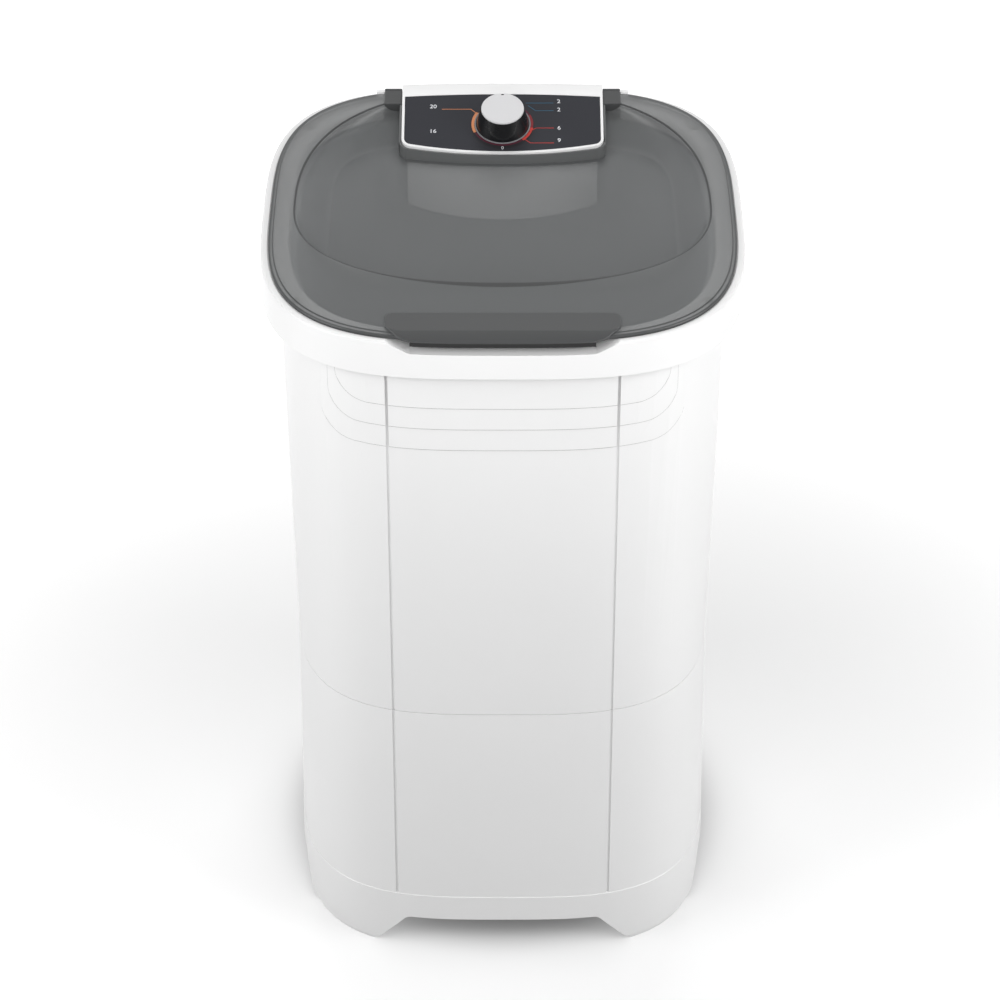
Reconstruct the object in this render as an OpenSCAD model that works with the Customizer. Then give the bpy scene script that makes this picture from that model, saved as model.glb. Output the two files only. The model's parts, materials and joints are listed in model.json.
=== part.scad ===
// Semi-automatic washing machine: a tub washer with a smoked lid and a timer console.
// The origin is on the floor under the middle of the machine, and the front faces -Y.

/* [Plan] */
// How much further each outline reaches front and back than to the sides
plan_deeper = 15; // [11:0.5:19]
// Power of the rounded-square curve that every moulded outline follows
plan_power = 3.35; // [3.1:0.05:3.6]
// Points round one moulded outline
plan_points = 96; // [80:8:112]

/* [Rim] */
// Top edge of the rim above the floor
rim_top_z = 865; // [850:1:880]
// Half width of the rim at its top edge
rim_half_w = 265; // [263:0.5:269]
// Height of the rim's outer skirt
rim_skirt_h = 41; // [36:1:46]
// How much the skirt flares out on its way down
rim_flare = 1.1; // [0.5:0.1:2]
// Wall of the rim moulding
rim_wall = 3; // [2.5:0.1:3.4]
// Radius on the rim's outer top edge
rim_edge_r = 3; // [2:0.5:4]
// Width of the white flange that shows beside the lid
rim_flange_w = 8; // [7:0.2:9]
// How far the lid's ledge lies below the flange
rim_ledge_drop = 2; // [1.5:0.1:2.6]

/* [Finger dip] */
// Depth of the dip in the front of the rim
dip_depth = 12; // [9:0.5:13]
// Half width of the dip at its floor
dip_half_floor = 98; // [88:1:104]
// Half width of the dip at its mouth
dip_half_mouth = 123; // [116:1:128]
// How far behind the rim's front edge the dip ends
dip_reach = 30; // [27:0.5:32]

/* [Cabinet] */
// How far the rim stands out past the cabinet's top
rim_overhang = 18.3; // [17:0.1:20]
// How much narrower the cabinet is at the seam than at its top, on each side
seam_draft = 7.3; // [6:0.1:9]
// How much wider the cabinet is at the floor than at the seam, on each side
foot_draft = 4.4; // [3:0.1:6]
// Wall of both cabinet mouldings
cabinet_wall = 3; // [2.6:0.1:3.4]
// Seam between the two cabinet mouldings above the floor
seam_z = 353; // [345:1:362]
// Open joint that shows as the seam line
seam_gap = 0.8; // [0.5:0.1:1.2]
// Height of the inner lap that joins the two mouldings
lap_h = 25; // [20:1:30]
// Each raised terrace under the rim stands this much further out
terrace_step = 1.2; // [0.8:0.1:1.4]
// Half width of the innermost terrace
terrace_half_w = 178.7; // [172:0.5:184]
// How much wider and lower each next terrace is
terrace_spread = [8.3, 27.7];
// Bottom edge of the innermost terrace above the floor
terrace_z = 774.6; // [768:0.5:782]
// Corner radius of the innermost terrace
terrace_corner_r = 34; // [28:1:40]
// Distance of the two front grooves from the middle
groove_x = 123.5; // [118:0.5:130]
// Width of a front groove
groove_w = 3; // [2:0.5:4]
// Depth of a front groove below the cabinet's own face
groove_depth = 1.4; // [1:0.1:1.6]

/* [Base] */
// Line where the plinth band starts, above the floor
plinth_z = 81; // [74:1:88]
// How far the plinth band stands out
plinth_step = 0.6; // [0.4:0.1:1]
// Height of the arches between the feet
arch_h = 47; // [40:1:54]
// Width of each foot at the floor
foot_w = 90.1; // [86:0.5:96]
// How much wider a foot is at the top of the arch
arch_slant = 41.3; // [36:0.5:48]
// Radius in the top corners of an arch
arch_corner_r = 12; // [8:1:16]
// Thickness of each foot's floor plate
foot_plate_t = 4; // [3:0.5:5]
// Side of a rubber foot pad
pad_side = 26; // [20:1:30]
// How deep a pad sits in its foot plate
pad_sunk = 2; // [1.5:0.1:2.5]

/* [Tub] */
// Inside floor of the tub above the ground
tub_floor_z = 300; // [292:1:308]
// Wall of the tub
tub_wall = 3; // [2.6:0.1:3.4]
// Width of the flange that the tub hangs by
tub_flange_w = 20.7; // [19.2:0.1:23.5]
// How much the tub narrows down to its floor's curve, on each side
tub_taper = 29; // [24:0.5:34]
// Width of the curve between the tub's wall and its flat floor
tub_curve_w = 39; // [35:1:45]
// Height of the curve between floor and wall
tub_curve_h = 33; // [28:1:38]
// Flange of the tub below the top edge of the rim
tub_flange_drop = 17; // [15.5:0.5:18]

/* [Lid] */
// Gap between the lid's edge and the flange round it
lid_side_gap = 0.7; // [0.4:0.1:1.2]
// Wall of the lid
lid_t = 3; // [2.6:0.1:3.2]
// Underside of the lid's edge above the rim's ledge
lid_seat_gap = 1.2; // [0.8:0.1:1.5]
// How far the lid's crown stands above the rim
lid_crown = 7; // [6:0.5:8]
// Width of the step along the lid's edge
lid_step_w = 4.6; // [3.6:0.2:5.6]
// Width of the lid's border beside the dish
lid_border_side = 28; // [25:0.5:32]
// Width of the lid's border in front of the dish
lid_border_front = 108.2; // [104:0.2:113]
// Width of the lid's border behind the dish
lid_border_back = 9.6; // [8:0.2:13]
// Width of the dish's sloping wall at the sides
dish_slope_side = 36.9; // [33:0.3:42]
// Width of the dish's sloping wall at the front
dish_slope_front = 32.4; // [28:0.4:37]
// Width of the dish's sloping wall at the back
dish_slope_back = 79; // [75:0.5:83]
// Depth of the dish below the lid's crown
dish_depth = 32; // [29:0.5:33]
// How far each end of the raised handle pad stays inside the finger dip's mouth
handle_end_in = 3; // [0:0.5:7]
// Gap between each end of the handle lip's front and the finger dip's floor line
handle_lip_in = 0.5; // [0:0.1:4]
// How far behind the rim's front edge the handle lip ends
handle_lip_back = 3; // [2.5:0.5:4]
// Depth of the raised handle pad from front to back
handle_pad_d = 36; // [32:1:40]
// Diameter of a hinge pin
pin_d = 5; // [4:0.5:6]
// Running clearance of a turning piece round its pin or shaft, on the radius
run_clear = 0.05; // [0.03:0.01:0.08]
// Width of a hinge lug
lug_w = 18; // [15:1:20]
// Radius of a hinge lug round its pin
lug_r = 6.5; // [5.5:0.1:6.8]
// Diameter of a lid buffer
buffer_d = 9; // [7:1:11]

/* [Console] */
// Half width of the console housing
console_half_w = 116; // [113:0.5:118]
// Depth of the console from front to back
console_d = 119; // [116:0.5:122]
// Distance of the console's back corners from the rim's back
console_back_in = 14; // [12.5:0.5:16]
// Height of the panel's front edge below the rim's top edge
console_front_drop = 12.5; // [11:0.5:14]
// Slope of the panel
console_tilt = 16.3; // [15:0.1:17.5]
// Length of the slope
console_slope_l = 98; // [95:0.5:101]
// How far the console's front edge bulges in the middle
console_bulge = 13; // [10:0.5:16]
// How far the console's back edge bows in the middle
console_bow = 4; // [2:0.5:5]
// How far the panel's back edge bows in the middle
panel_bow = 4; // [2:0.5:6]
// Radius of the console's front corners
console_corner_r = 12; // [8:0.5:15]
// Wall of the console housing
console_wall = 3; // [2.6:0.1:3.4]
// White border that shows round the panel
panel_border = 3.2; // [2.8:0.1:4]
// Thickness of the panel
panel_t = 2.5; // [2:0.1:3]
// Ledge that the panel lies on
panel_ledge_w = 3; // [2.5:0.1:4]
// Depth of the timer box below the rim's top edge
timer_box_drop = 102; // [96:1:108]
// How far the timer box bulges into the tub's mouth
timer_box_bulge = 36; // [30:1:40]

/* [Knob] */
// Diameter of the knob's skirt at its foot
knob_foot_d = 61; // [58:0.5:63]
// Diameter of the knob's face
knob_face_d = 49; // [46:0.5:51]
// Height of the knob above the panel
knob_h = 25.5; // [23:0.5:28]
// Gap between the knob and the panel
knob_gap = 1; // [0.8:0.1:1.4]
// Wall of the knob's skirt
knob_wall = 2.5; // [2:0.1:3]
// Thickness of the white cap
knob_cap_t = 2.2; // [1.8:0.1:2.6]
// Width of the light ring round the knob's foot
dial_ring_w = 1.4; // [1:0.1:1.8]
// Diameter of the timer's shaft
timer_shaft_d = 6; // [5.5:0.1:6.5]
// Side and depth of the timer's body
timer_body_size = [52, 46, 30];

/* [Drive] */
// Diameter of the drive shaft
shaft_d = 14; // [13:0.5:15]
// Outer diameter of a shaft bush
bush_d = 24; // [22:0.5:26]
// Length of a shaft bush
bush_l = 22; // [18:1:24]
// Outer diameter of the bearing housing's barrel
barrel_d = 40; // [37:1:43]
// Length of the barrel below the tub
barrel_l = 82; // [78:1:86]
// Diameter of the bearing housing's flange
bearing_flange_d = 120; // [112:1:128]
// How far the agitator reaches past the tub's flat floor on each side
agitator_reach = 7; // [0:1:9]
// Height of the agitator's hub above the tub's floor
agitator_h = 52; // [48:1:56]
// Number of fins on the agitator
agitator_fins = 6; // [4:1:8]
// Wall of the agitator
agitator_wall = 4; // [3.4:0.2:4.6]
// How far the motor's shaft stays inside the back edge of the tub's flat floor
motor_inset = 18; // [15:0.5:21]
// Gap between the running faces of the two pulleys
pulley_gap = 23.5; // [21.5:0.5:26]
// Running radius of the belt on the motor pulley
motor_pulley_r = 21.5; // [20:0.5:23]
// Height and thickness of the belt
belt_size = [9, 5];
// Gap all round the belt in its pulleys
belt_clear = 0.3; // [0.3:0.05:0.5]
// Middle of the belt below the tub's floor
belt_drop = 158; // [155:1:162]
// Diameter of the motor
motor_d = 124; // [118:1:128]
// Length of the motor's shell
motor_shell_l = 82; // [78:1:84]
// Length of each motor cover
motor_cover_l = 14; // [12:0.5:15]
// Diameter of the motor shaft
motor_shaft_d = 12; // [11:0.5:13]
// Diameter and length of the capacitor
capacitor_size = [36, 70];

/* [Drain] */
// Place of the drain in the tub's floor
drain_at = [96, 62];
// Outer diameter of the drain pipe
drain_pipe_d = 32; // [30:0.5:34]
// Wall of the drain pipe and hose
drain_wall = 3; // [2.5:0.1:3.4]
// Bend radius of the drain elbow
drain_bend_r = 32; // [28:1:36]
// Outer diameter of the rear spout
spout_d = 28; // [26:0.5:30]
// Free length of the rear spout
spout_l = 24; // [20:1:25]
// Diameter of the cord's hole in its gland
gland_bore_d = 8; // [7:0.5:9]
// Place of the cord gland: distance from the middle and height
gland_at = [-95, 200];

/* [Lint filter] */
// Width, height and depth of the filter cassette
filter_size = [110, 180, 9];
// Foot of the filter above the tub's floor
filter_lift_z = 180; // [170:1:190]

/* [Hidden] */
$fn = 64;
// Parts of one assembly that lie side by side keep this gap
fit_gap = 0.3;
// A cut runs this far past the face that it opens
past = 1;

white = [0.95, 0.95, 0.95];
smoke = [0.42, 0.43, 0.43];
slate = [0.26, 0.27, 0.29];
steel = [0.72, 0.73, 0.75];
rubber = [0.12, 0.12, 0.12];

// Half widths of the outlines, from the rim inwards
top_half_w = rim_half_w - rim_overhang;
seam_half_w = top_half_w - seam_draft;
foot_half_w = seam_half_w + foot_draft;
arch_half_foot = foot_half_w - foot_w;
arch_half_top = arch_half_foot - arch_slant;
tub_mouth_half_w = top_half_w - tub_flange_w;
tub_foot_half_w = tub_mouth_half_w - tub_taper;
tub_flat_half_w = tub_foot_half_w - tub_curve_w;
agitator_d = 2 * (tub_flat_half_w + agitator_reach);
motor_offset = tub_flat_half_w + plan_deeper - motor_inset;
driven_r = motor_offset - motor_pulley_r - pulley_gap;

// Heights of the stack under the lid
ledge_z = rim_top_z - rim_ledge_drop;
tub_top_z = rim_top_z - tub_flange_drop;
cabinet_top_z = tub_top_z - tub_wall;
rim_foot_z = rim_top_z - rim_skirt_h;
lid_edge_z = ledge_z + lid_seat_gap;
crown_z = rim_top_z + lid_crown;
dish_z = crown_z - dish_depth;
flange_a = rim_half_w - rim_flange_w + fit_gap;
ledge_a = tub_mouth_half_w + 9;

// The lid and its dish: half width, then reach to the front and to the back
lid_half_w = flange_a - lid_side_gap;
lid_reach = lid_half_w + plan_deeper;
dish_half_w = lid_half_w - lid_border_side;
dish_front = lid_reach - lid_border_front;
dish_back = lid_reach - lid_border_back;
dish_floor_half_w = dish_half_w - dish_slope_side;
dish_floor_front = dish_front - dish_slope_front;
dish_floor_back = dish_back - dish_slope_back;
handle_half_w = dip_half_mouth - handle_end_in;
handle_lip_half_w = dip_half_floor - handle_lip_in;
console_back_y = rim_half_w + plan_deeper - console_back_in;
console_front_y = console_back_y - console_d;

// Collar of the lid round the console
collar_gap = 0.7;
collar_t = 2.2;
bolt_r = 3;
screw_r = 2;

// One point list per outline: half width a, height z, power n, reach front bf and back bb
function ring(a, z, n, bf, bb) = [for (i = [0 : plan_points - 1])
    let (t = 360 * i / plan_points, b = sin(t) < 0 ? bf : bb,
        r = pow(pow(abs(cos(t)) / a, n) + pow(abs(sin(t)) / b, n), -1 / n))
    [r * cos(t), r * sin(t), z]];
function plan_ring(a, z) = ring(a, z, plan_power, a + plan_deeper, a + plan_deeper);
function strip(k, l) = [for (i = [0 : plan_points - 1])
    let (j = (i + 1) % plan_points, p = k * plan_points, q = l * plan_points)
    each [[p + i, q + i, q + j], [p + i, q + j, p + j]]];

// A wall swept round the plan: section is a closed list of [half width, height], outside upwards
module plan_wall(section) {
    rows = len(section);
    points = [for (s = section) each plan_ring(s[0], s[1])];
    faces = [for (k = [0 : rows - 1]) each strip(k, (k + 1) % rows)];
    polyhedron(points, faces, convexity = 8);
}

// A bowl: rings from the middle of the underside out, over the edge and back in
module bowl(rings) {
    rows = len(rings);
    points = [for (r = rings) each r];
    under = [for (i = [0 : plan_points - 1]) i];
    over = [for (i = [0 : plan_points - 1]) rows * plan_points - 1 - i];
    faces = [each [for (k = [0 : rows - 2]) each strip(k, k + 1)], under, over];
    polyhedron(points, faces, convexity = 8);
}

// Half width of the cabinet's own face at a height
function skin(z) = z < seam_z
    ? foot_half_w + (seam_half_w - foot_half_w) * z / seam_z
    : seam_half_w + (top_half_w - seam_half_w) * (z - seam_z) / (cabinet_top_z - seam_z);
// Reach of an outline of half width a at a distance x from the middle
function reach(a, x) = (a + plan_deeper) * pow(1 - pow(abs(x) / a, plan_power), 1 / plan_power);

// A polygon whose corners [x, y, radius] are rounded by short chords
function unit(v) = v / norm(v);
function corner(a, b, c, r, steps) =
    let (u = unit(a - b), v = unit(c - b), half = acos(u * v) / 2,
        mid = b + unit(u + v) * r / sin(half),
        p = b + u * r / tan(half), q = b + v * r / tan(half),
        from = atan2(p.y - mid.y, p.x - mid.x), to = atan2(q.y - mid.y, q.x - mid.x),
        turn = to - from > 180 ? to - from - 360 : to - from < -180 ? to - from + 360 : to - from)
    [for (i = [0 : steps]) mid + r * [cos(from + turn * i / steps), sin(from + turn * i / steps)]];
function rounded(list, steps = 5) = [for (i = [0 : len(list) - 1])
    let (n = len(list), a = list[(i + n - 1) % n], b = list[i], c = list[(i + 1) % n])
    each b[2] > 0 ? corner([a.x, a.y], [b.x, b.y], [c.x, c.y], b[2], steps) : [[b.x, b.y]]];

module tube(outer_r, inner_r, h) {
    difference() {
        cylinder(r = outer_r, h = h);
        translate([0, 0, -past]) cylinder(r = inner_r, h = h + 2 * past);
    }
}

// Draws its children on the left and on the right
module both_sides() {
    children();
    mirror([1, 0, 0]) children();
}

// A profile of [y, z] points drawn out along X, w to each side of the middle
module across(w, points) {
    translate([-w, 0, 0]) rotate([90, 0, 90]) linear_extrude(height = 2 * w) polygon(points);
}

// A profile of [x, z] points drawn out along Y from y0 to y1
module along(y0, y1, points) {
    translate([0, y1, 0]) rotate([90, 0, 0]) linear_extrude(height = y1 - y0) polygon(points);
}

// The cabinet

function skin_wall(z0, z1, out) = [
    [skin(z0) + out, z0], [skin(z1) + out, z1],
    [skin(z1) - cabinet_wall, z1], [skin(z0) - cabinet_wall, z0]];

function terrace_outline(k) =
    let (w = terrace_half_w + k * terrace_spread[0], low = terrace_z - k * terrace_spread[1])
    rounded([[-w, low, terrace_corner_r], [w, low, terrace_corner_r],
        [w, rim_top_z, 0], [-w, rim_top_z, 0]], 8);

module terrace(k, count) {
    z0 = terrace_z - k * terrace_spread[1] - past;
    out = terrace_step * (count - k);
    intersection() {
        plan_wall([[skin(z0) + out, z0], [skin(cabinet_top_z) + out, cabinet_top_z],
            [skin(cabinet_top_z) - cabinet_wall / 2, cabinet_top_z],
            [skin(z0) - cabinet_wall / 2, z0]]);
        along(-rim_half_w - plan_deeper, -top_half_w / 2, terrace_outline(k));
    }
}

module front_grooves(z0, z1) {
    stand_out = 4 * terrace_step;
    intersection() {
        plan_wall([[skin(z0) + stand_out, z0], [skin(z1) + stand_out, z1],
            [skin(z1) - groove_depth, z1], [skin(z0) - groove_depth, z0]]);
        both_sides() translate([groove_x - groove_w / 2, -rim_half_w - plan_deeper, z0])
            cube([groove_w, rim_half_w, z1 - z0]);
    }
}

seam_top_z = seam_z + seam_gap / 2;
seam_foot_z = seam_z - seam_gap / 2;

module upper_cabinet() color(white) difference() {
    union() {
        plan_wall(skin_wall(seam_top_z, cabinet_top_z, 0));
        for (k = [0 : 2]) terrace(k, 3);
    }
    front_grooves(seam_top_z - past, cabinet_top_z + past);
    cabinet_screw_holes();
}

// Back screws through the lap: distances from the middle
screw_xs = [-80, 80];
screw_l = 3 * cabinet_wall + 1;
module at_cabinet_screws() {
    z = seam_z + lap_h / 2;
    for (x = screw_xs) translate([x, reach(skin(z), x) + 0.5 - screw_l, z]) rotate([-90, 0, 0]) children();
}
module cabinet_screw_holes() {
    at_cabinet_screws() translate([0, 0, -past]) cylinder(r = screw_r + run_clear, h = screw_l + 4 * past);
}

// The inner lap of the lower moulding
lap_a = seam_half_w - cabinet_wall - fit_gap;
module lower_cabinet() color(white) difference() {
    union() {
        plan_wall([
            [skin(0) - 3, 0], [skin(0) + plinth_step, 9], [skin(plinth_z) + plinth_step, plinth_z],
            [skin(plinth_z), plinth_z + plinth_step], [skin(seam_foot_z), seam_foot_z],
            [lap_a, seam_foot_z], [lap_a, seam_top_z + lap_h], [lap_a - cabinet_wall, seam_top_z + lap_h],
            [lap_a - cabinet_wall, seam_foot_z - cabinet_wall],
            [skin(seam_foot_z - 3 * cabinet_wall) - cabinet_wall, seam_foot_z - 3 * cabinet_wall],
            [skin(0) - cabinet_wall, 9], [skin(0) - 3 - cabinet_wall, 0]]);
        foot_plates();
    }
    arch(rim_half_w + plan_deeper, 0);
    rotate([0, 0, 90]) arch(rim_half_w, plan_deeper);
    front_grooves(plinth_z + 2 * plinth_step, seam_z + past);
    foot_pad_blocks(fit_gap / 2);
    cabinet_screw_holes();
    translate([drain_at.x, 0, drain_z]) rotate([-90, 0, 0])
        cylinder(r = spout_root_r + fit_gap, h = rim_half_w + plan_deeper);
    translate([gland_at.x, 0, gland_at.y]) rotate([-90, 0, 0])
        cylinder(r = gland_r + fit_gap, h = rim_half_w + plan_deeper);
}

// One passage under the machine, from side to side of the arch's own direction
module arch(half_l, wider) {
    along(-half_l, half_l, rounded([
        [-arch_half_foot - wider, 0, 0], [-arch_half_foot - wider - past, -past, 0],
        [arch_half_foot + wider + past, -past, 0], [arch_half_foot + wider, 0, 0],
        [arch_half_top + wider, arch_h, arch_corner_r], [-arch_half_top - wider, arch_h, arch_corner_r]]));
}

module foot_plates() {
    intersection() {
        bowl([plan_ring(skin(0) - cabinet_wall - 1, 0), plan_ring(skin(0) - cabinet_wall, foot_plate_t)]);
        foot_corners() cube([rim_half_w, rim_half_w, arch_h]);
    }
}

// Draws its children at the inner corner of each foot
module foot_corners() {
    for (sx = [0, 1]) for (sy = [0, 1]) mirror([sx, 0, 0]) mirror([0, sy, 0])
        translate([arch_half_foot, arch_half_foot, 0]) children();
}

module foot_pad_blocks(clear) {
    inset = 8;
    foot_corners() translate([inset - clear, inset + plan_deeper / 2 - clear, -clear])
        cube([pad_side + 2 * clear, pad_side + 2 * clear, pad_sunk + clear]);
}
module foot_pads() color(rubber) foot_pad_blocks(0);

module cabinet_screws() color(steel) at_cabinet_screws() {
    cylinder(r = screw_r, h = screw_l);
    translate([0, 0, screw_l]) cylinder(r = 2 * screw_r, h = 1.8);
}

// The rim

rim_under_z = ledge_z - rim_wall;
// The rib that stands on the tub's flange
rim_rib_a = tub_mouth_half_w + 14;
// The filled front stretch that the finger dip is cut from
dip_block_half_w = dip_half_mouth + 6;
dip_floor_z = rim_top_z - dip_depth;

module top_rim() color(white) difference() {
    union() {
        plan_wall([
            [rim_half_w + rim_flare, rim_foot_z], [rim_half_w, rim_top_z - rim_edge_r],
            [rim_half_w - 0.3 * rim_edge_r, rim_top_z - 0.3 * rim_edge_r],
            [rim_half_w - rim_edge_r, rim_top_z], [flange_a + 0.5, rim_top_z],
            [flange_a, rim_top_z - 0.5], [flange_a, ledge_z], [ledge_a, ledge_z],
            [ledge_a - 2, ledge_z - 2], [ledge_a - 2, tub_top_z], [ledge_a, tub_top_z],
            [ledge_a, rim_under_z - 2], [ledge_a + 2, rim_under_z], [rim_rib_a, rim_under_z],
            [rim_rib_a, tub_top_z], [rim_rib_a + rim_wall, tub_top_z],
            [rim_rib_a + rim_wall, rim_under_z], [rim_half_w - rim_wall - 1, rim_under_z],
            [rim_half_w - rim_wall + 0.2, rim_under_z - 2],
            [rim_half_w + rim_flare - rim_wall, rim_foot_z]]);
        intersection() {
            plan_wall([[rim_half_w - 1.5, dip_floor_z - rim_wall], [rim_half_w - 1.5, ledge_z - 1],
                [rim_rib_a + 1, ledge_z - 1], [rim_rib_a + 1, dip_floor_z - rim_wall]]);
            translate([-dip_block_half_w, -rim_half_w - plan_deeper, 0])
                cube([2 * dip_block_half_w, rim_half_w, rim_top_z]);
        }
        pin_bosses();
    }
    finger_dip();
    console_cut();
    both_sides() hinge_pocket();
    pin_holes();
}

module finger_dip() {
    front_y = -rim_half_w - plan_deeper;
    along(front_y - past, front_y + dip_reach, rounded([
        [-dip_half_mouth - past, rim_top_z + past, 0], [-dip_half_mouth, rim_top_z, 6],
        [-dip_half_floor, dip_floor_z, 10], [dip_half_floor, dip_floor_z, 10],
        [dip_half_mouth, rim_top_z, 6], [dip_half_mouth + past, rim_top_z + past, 0]]));
}

// Room for the console in the rim's ledge and lip
module console_cut() {
    w = console_half_w + collar_gap + collar_t + fit_gap;
    translate([0, 0, tub_top_z - past]) linear_extrude(height = tub_flange_drop + 2 * past)
        polygon(concat(back_line(w, console_back_y + fit_gap, console_bow), [[-w, 0], [w, 0]]));
}

// Room for a hinge lug beside the console
pocket_x = console_half_w + collar_gap + collar_t + lug_w + 0.7;
hinge_y = console_back_y - 4;
hinge_z = rim_top_z + 1;
module hinge_pocket() {
    translate([0, hinge_y - 40, tub_top_z - past]) cube([pocket_x, 40, tub_flange_drop + 4]);
    translate([0, hinge_y, hinge_z]) rotate([0, 90, 0]) cylinder(r = lug_r + 0.5, h = pocket_x);
    translate([0, hinge_y, hinge_z]) cube([pocket_x, lug_r + 0.5, 20]);
}

// Bosses in the rim that take the outer ends of the hinge pins
pin_end_x = pocket_x + 5;
boss_w = 9;
boss_r = 5;
module pin_bosses() {
    both_sides() translate([pocket_x, hinge_y, hinge_z]) {
        rotate([0, 90, 0]) cylinder(r = boss_r, h = boss_w);
        translate([0, 0.4 - boss_r, -boss_r - 4]) cube([boss_w, 2 * boss_r - 0.8, boss_r + 4]);
    }
}
module pin_holes() {
    both_sides() translate([console_half_w - console_wall - past, hinge_y, hinge_z]) rotate([0, 90, 0])
        cylinder(d = pin_d + 0.04, h = pin_end_x + past + 0.1 - console_half_w + console_wall);
}
module hinge_pins() color(steel) {
    start = console_half_w - console_wall;
    both_sides() translate([start, hinge_y, hinge_z]) rotate([0, 90, 0])
        cylinder(d = pin_d, h = pin_end_x - start);
}

// The tub

function tub_in(z) = tub_foot_half_w + (tub_mouth_half_w - tub_foot_half_w)
    * (z - tub_floor_z - tub_curve_h) / (tub_top_z - tub_floor_z - tub_curve_h);
function tub_ring(a, z, n) = ring(a, z, n, a + plan_deeper, a + plan_deeper);
tub_under_z = tub_floor_z - tub_wall;
tub_power_low = 2.7;
curve_a = tub_foot_half_w - tub_flat_half_w;

module wash_tub() color(white) difference() {
    union() {
        bowl([
            tub_ring(tub_flat_half_w, tub_under_z, tub_power_low),
            tub_ring(tub_flat_half_w + 0.7 * curve_a, tub_under_z + 0.3 * tub_curve_h, tub_power_low),
            tub_ring(tub_foot_half_w + tub_wall, tub_floor_z + tub_curve_h, plan_power),
            plan_ring(tub_mouth_half_w + tub_wall, cabinet_top_z),
            plan_ring(top_half_w, cabinet_top_z),
            plan_ring(top_half_w, tub_top_z),
            plan_ring(tub_mouth_half_w + 1, tub_top_z),
            plan_ring(tub_mouth_half_w, tub_top_z - 1.5),
            tub_ring(tub_foot_half_w, tub_floor_z + tub_curve_h, plan_power),
            tub_ring(tub_flat_half_w + 0.7 * curve_a - 2, tub_floor_z + 0.3 * tub_curve_h, tub_power_low),
            tub_ring(tub_flat_half_w, tub_floor_z, tub_power_low)]);
        at_motor_mounts() translate([0, 0, mount_top_z])
            cylinder(r = mount_r, h = tub_under_z + 2.6 - mount_top_z);
    }
    translate([0, 0, tub_under_z - past]) cylinder(r = barrel_d / 2 + fit_gap, h = tub_wall + 2 * past);
    at_bearing_screws() translate([0, 0, tub_under_z - past])
        cylinder(r = screw_r + 0.5 + run_clear, h = tub_wall + 2 * past);
    at_motor_mounts() translate([0, 0, mount_top_z - past]) cylinder(r = bolt_r + run_clear, h = 6 + past);
    translate([drain_at.x, drain_at.y, tub_under_z - past])
        cylinder(r = drain_neck_r + fit_gap, h = tub_wall + 2 * past);
    loom_hole(tub_top_z - 10, 20);
}

// The console

console_front_z = rim_top_z - console_front_drop;
console_top_z = console_front_z + console_slope_l * sin(console_tilt);
console_floor_z = rim_top_z - timer_box_drop;
timer_box_back_y = reach(tub_in(console_floor_z), console_half_w - 6) - 1;

// Draws its children on the panel: X to the right, Y up the slope, Z out of the panel
module on_panel() {
    translate([0, console_front_y, console_front_z]) rotate([console_tilt, 0, 0]) children();
}

// Front of the console's plan from left to right, with its two corners rounded
function front_line(w, y0, bulge, r) =
    let (steps = 23, turns = 6, arc_r = (w * w + bulge * bulge) / (2 * bulge),
        open = asin((w - r) / (arc_r - r)), corner_y = y0 + arc_r - (arc_r - r) * cos(open))
    concat(r > 0 ? [for (i = [0 : turns - 1]) let (t = 180 + (90 - open) * i / turns)
            [r - w + r * cos(t), corner_y + r * sin(t)]] : [],
        [for (i = [0 : steps]) let (t = open * (2 * i / steps - 1)) [arc_r * sin(t), y0 + arc_r * (1 - cos(t))]],
        r > 0 ? [for (i = [1 : turns]) let (t = 270 + open + (90 - open) * i / turns)
            [w - r + r * cos(t), corner_y + r * sin(t)]] : []);
// Back of the console's plan from right to left, bowed in the middle
function back_line(w, y1, bow) = bow == 0 ? [[w, y1], [-w, y1]] :
    let (steps = 11, arc_r = (w * w + bow * bow) / (2 * bow), open = asin(w / arc_r))
    [for (i = [0 : steps]) let (t = open * (1 - 2 * i / steps)) [arc_r * sin(t), y1 + bow - arc_r * (1 - cos(t))]];
// Plan of the console: half width, front and back, bulge of the front, corner radius, bow of the back
function bulged(w, y0, y1, bulge, r, bow = 0) = concat(back_line(w, y1, bow), front_line(w, y0, bulge, r));

module console_block(inset, z0, z1) {
    translate([0, 0, z0]) linear_extrude(height = z1 - z0) polygon(bulged(console_half_w - inset,
        console_front_y + inset, console_back_y - inset, console_bulge, console_corner_r - inset, console_bow));
}
module timer_box_block(inset, z0, z1) {
    translate([0, 0, z0]) linear_extrude(height = z1 - z0) polygon(bulged(console_half_w - 6 - inset,
        console_front_y + 3 + inset, timer_box_back_y - inset, timer_box_bulge, 0));
}

// Everything above the sloping top, down to a depth below it
module above_slope(depth, slope_back) {
    on_panel() translate([-2 * console_half_w, -console_slope_l, -depth])
        cube([4 * console_half_w, console_slope_l + slope_back, 4 * console_slope_l]);
}

shelf_z = dish_z - 2;
module console_housing() color(white) difference() {
    union() {
        difference() {
            union() {
                console_block(0, tub_top_z, console_top_z);
                intersection() {
                    console_block(0, shelf_z, tub_top_z + past);
                    translate([-console_half_w, 0, 0]) cube([2 * console_half_w, timer_box_back_y, 2 * rim_top_z]);
                }
                timer_box_block(0, console_floor_z, shelf_z + past);
            }
            above_slope(0, console_slope_l);
            timer_box_block(console_wall, console_floor_z + console_wall, console_top_z + past);
            console_hollow();
        }
    }
    panel_recess();
    pin_holes();
    loom_hole(tub_top_z - past, 2 * console_wall);
}

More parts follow.
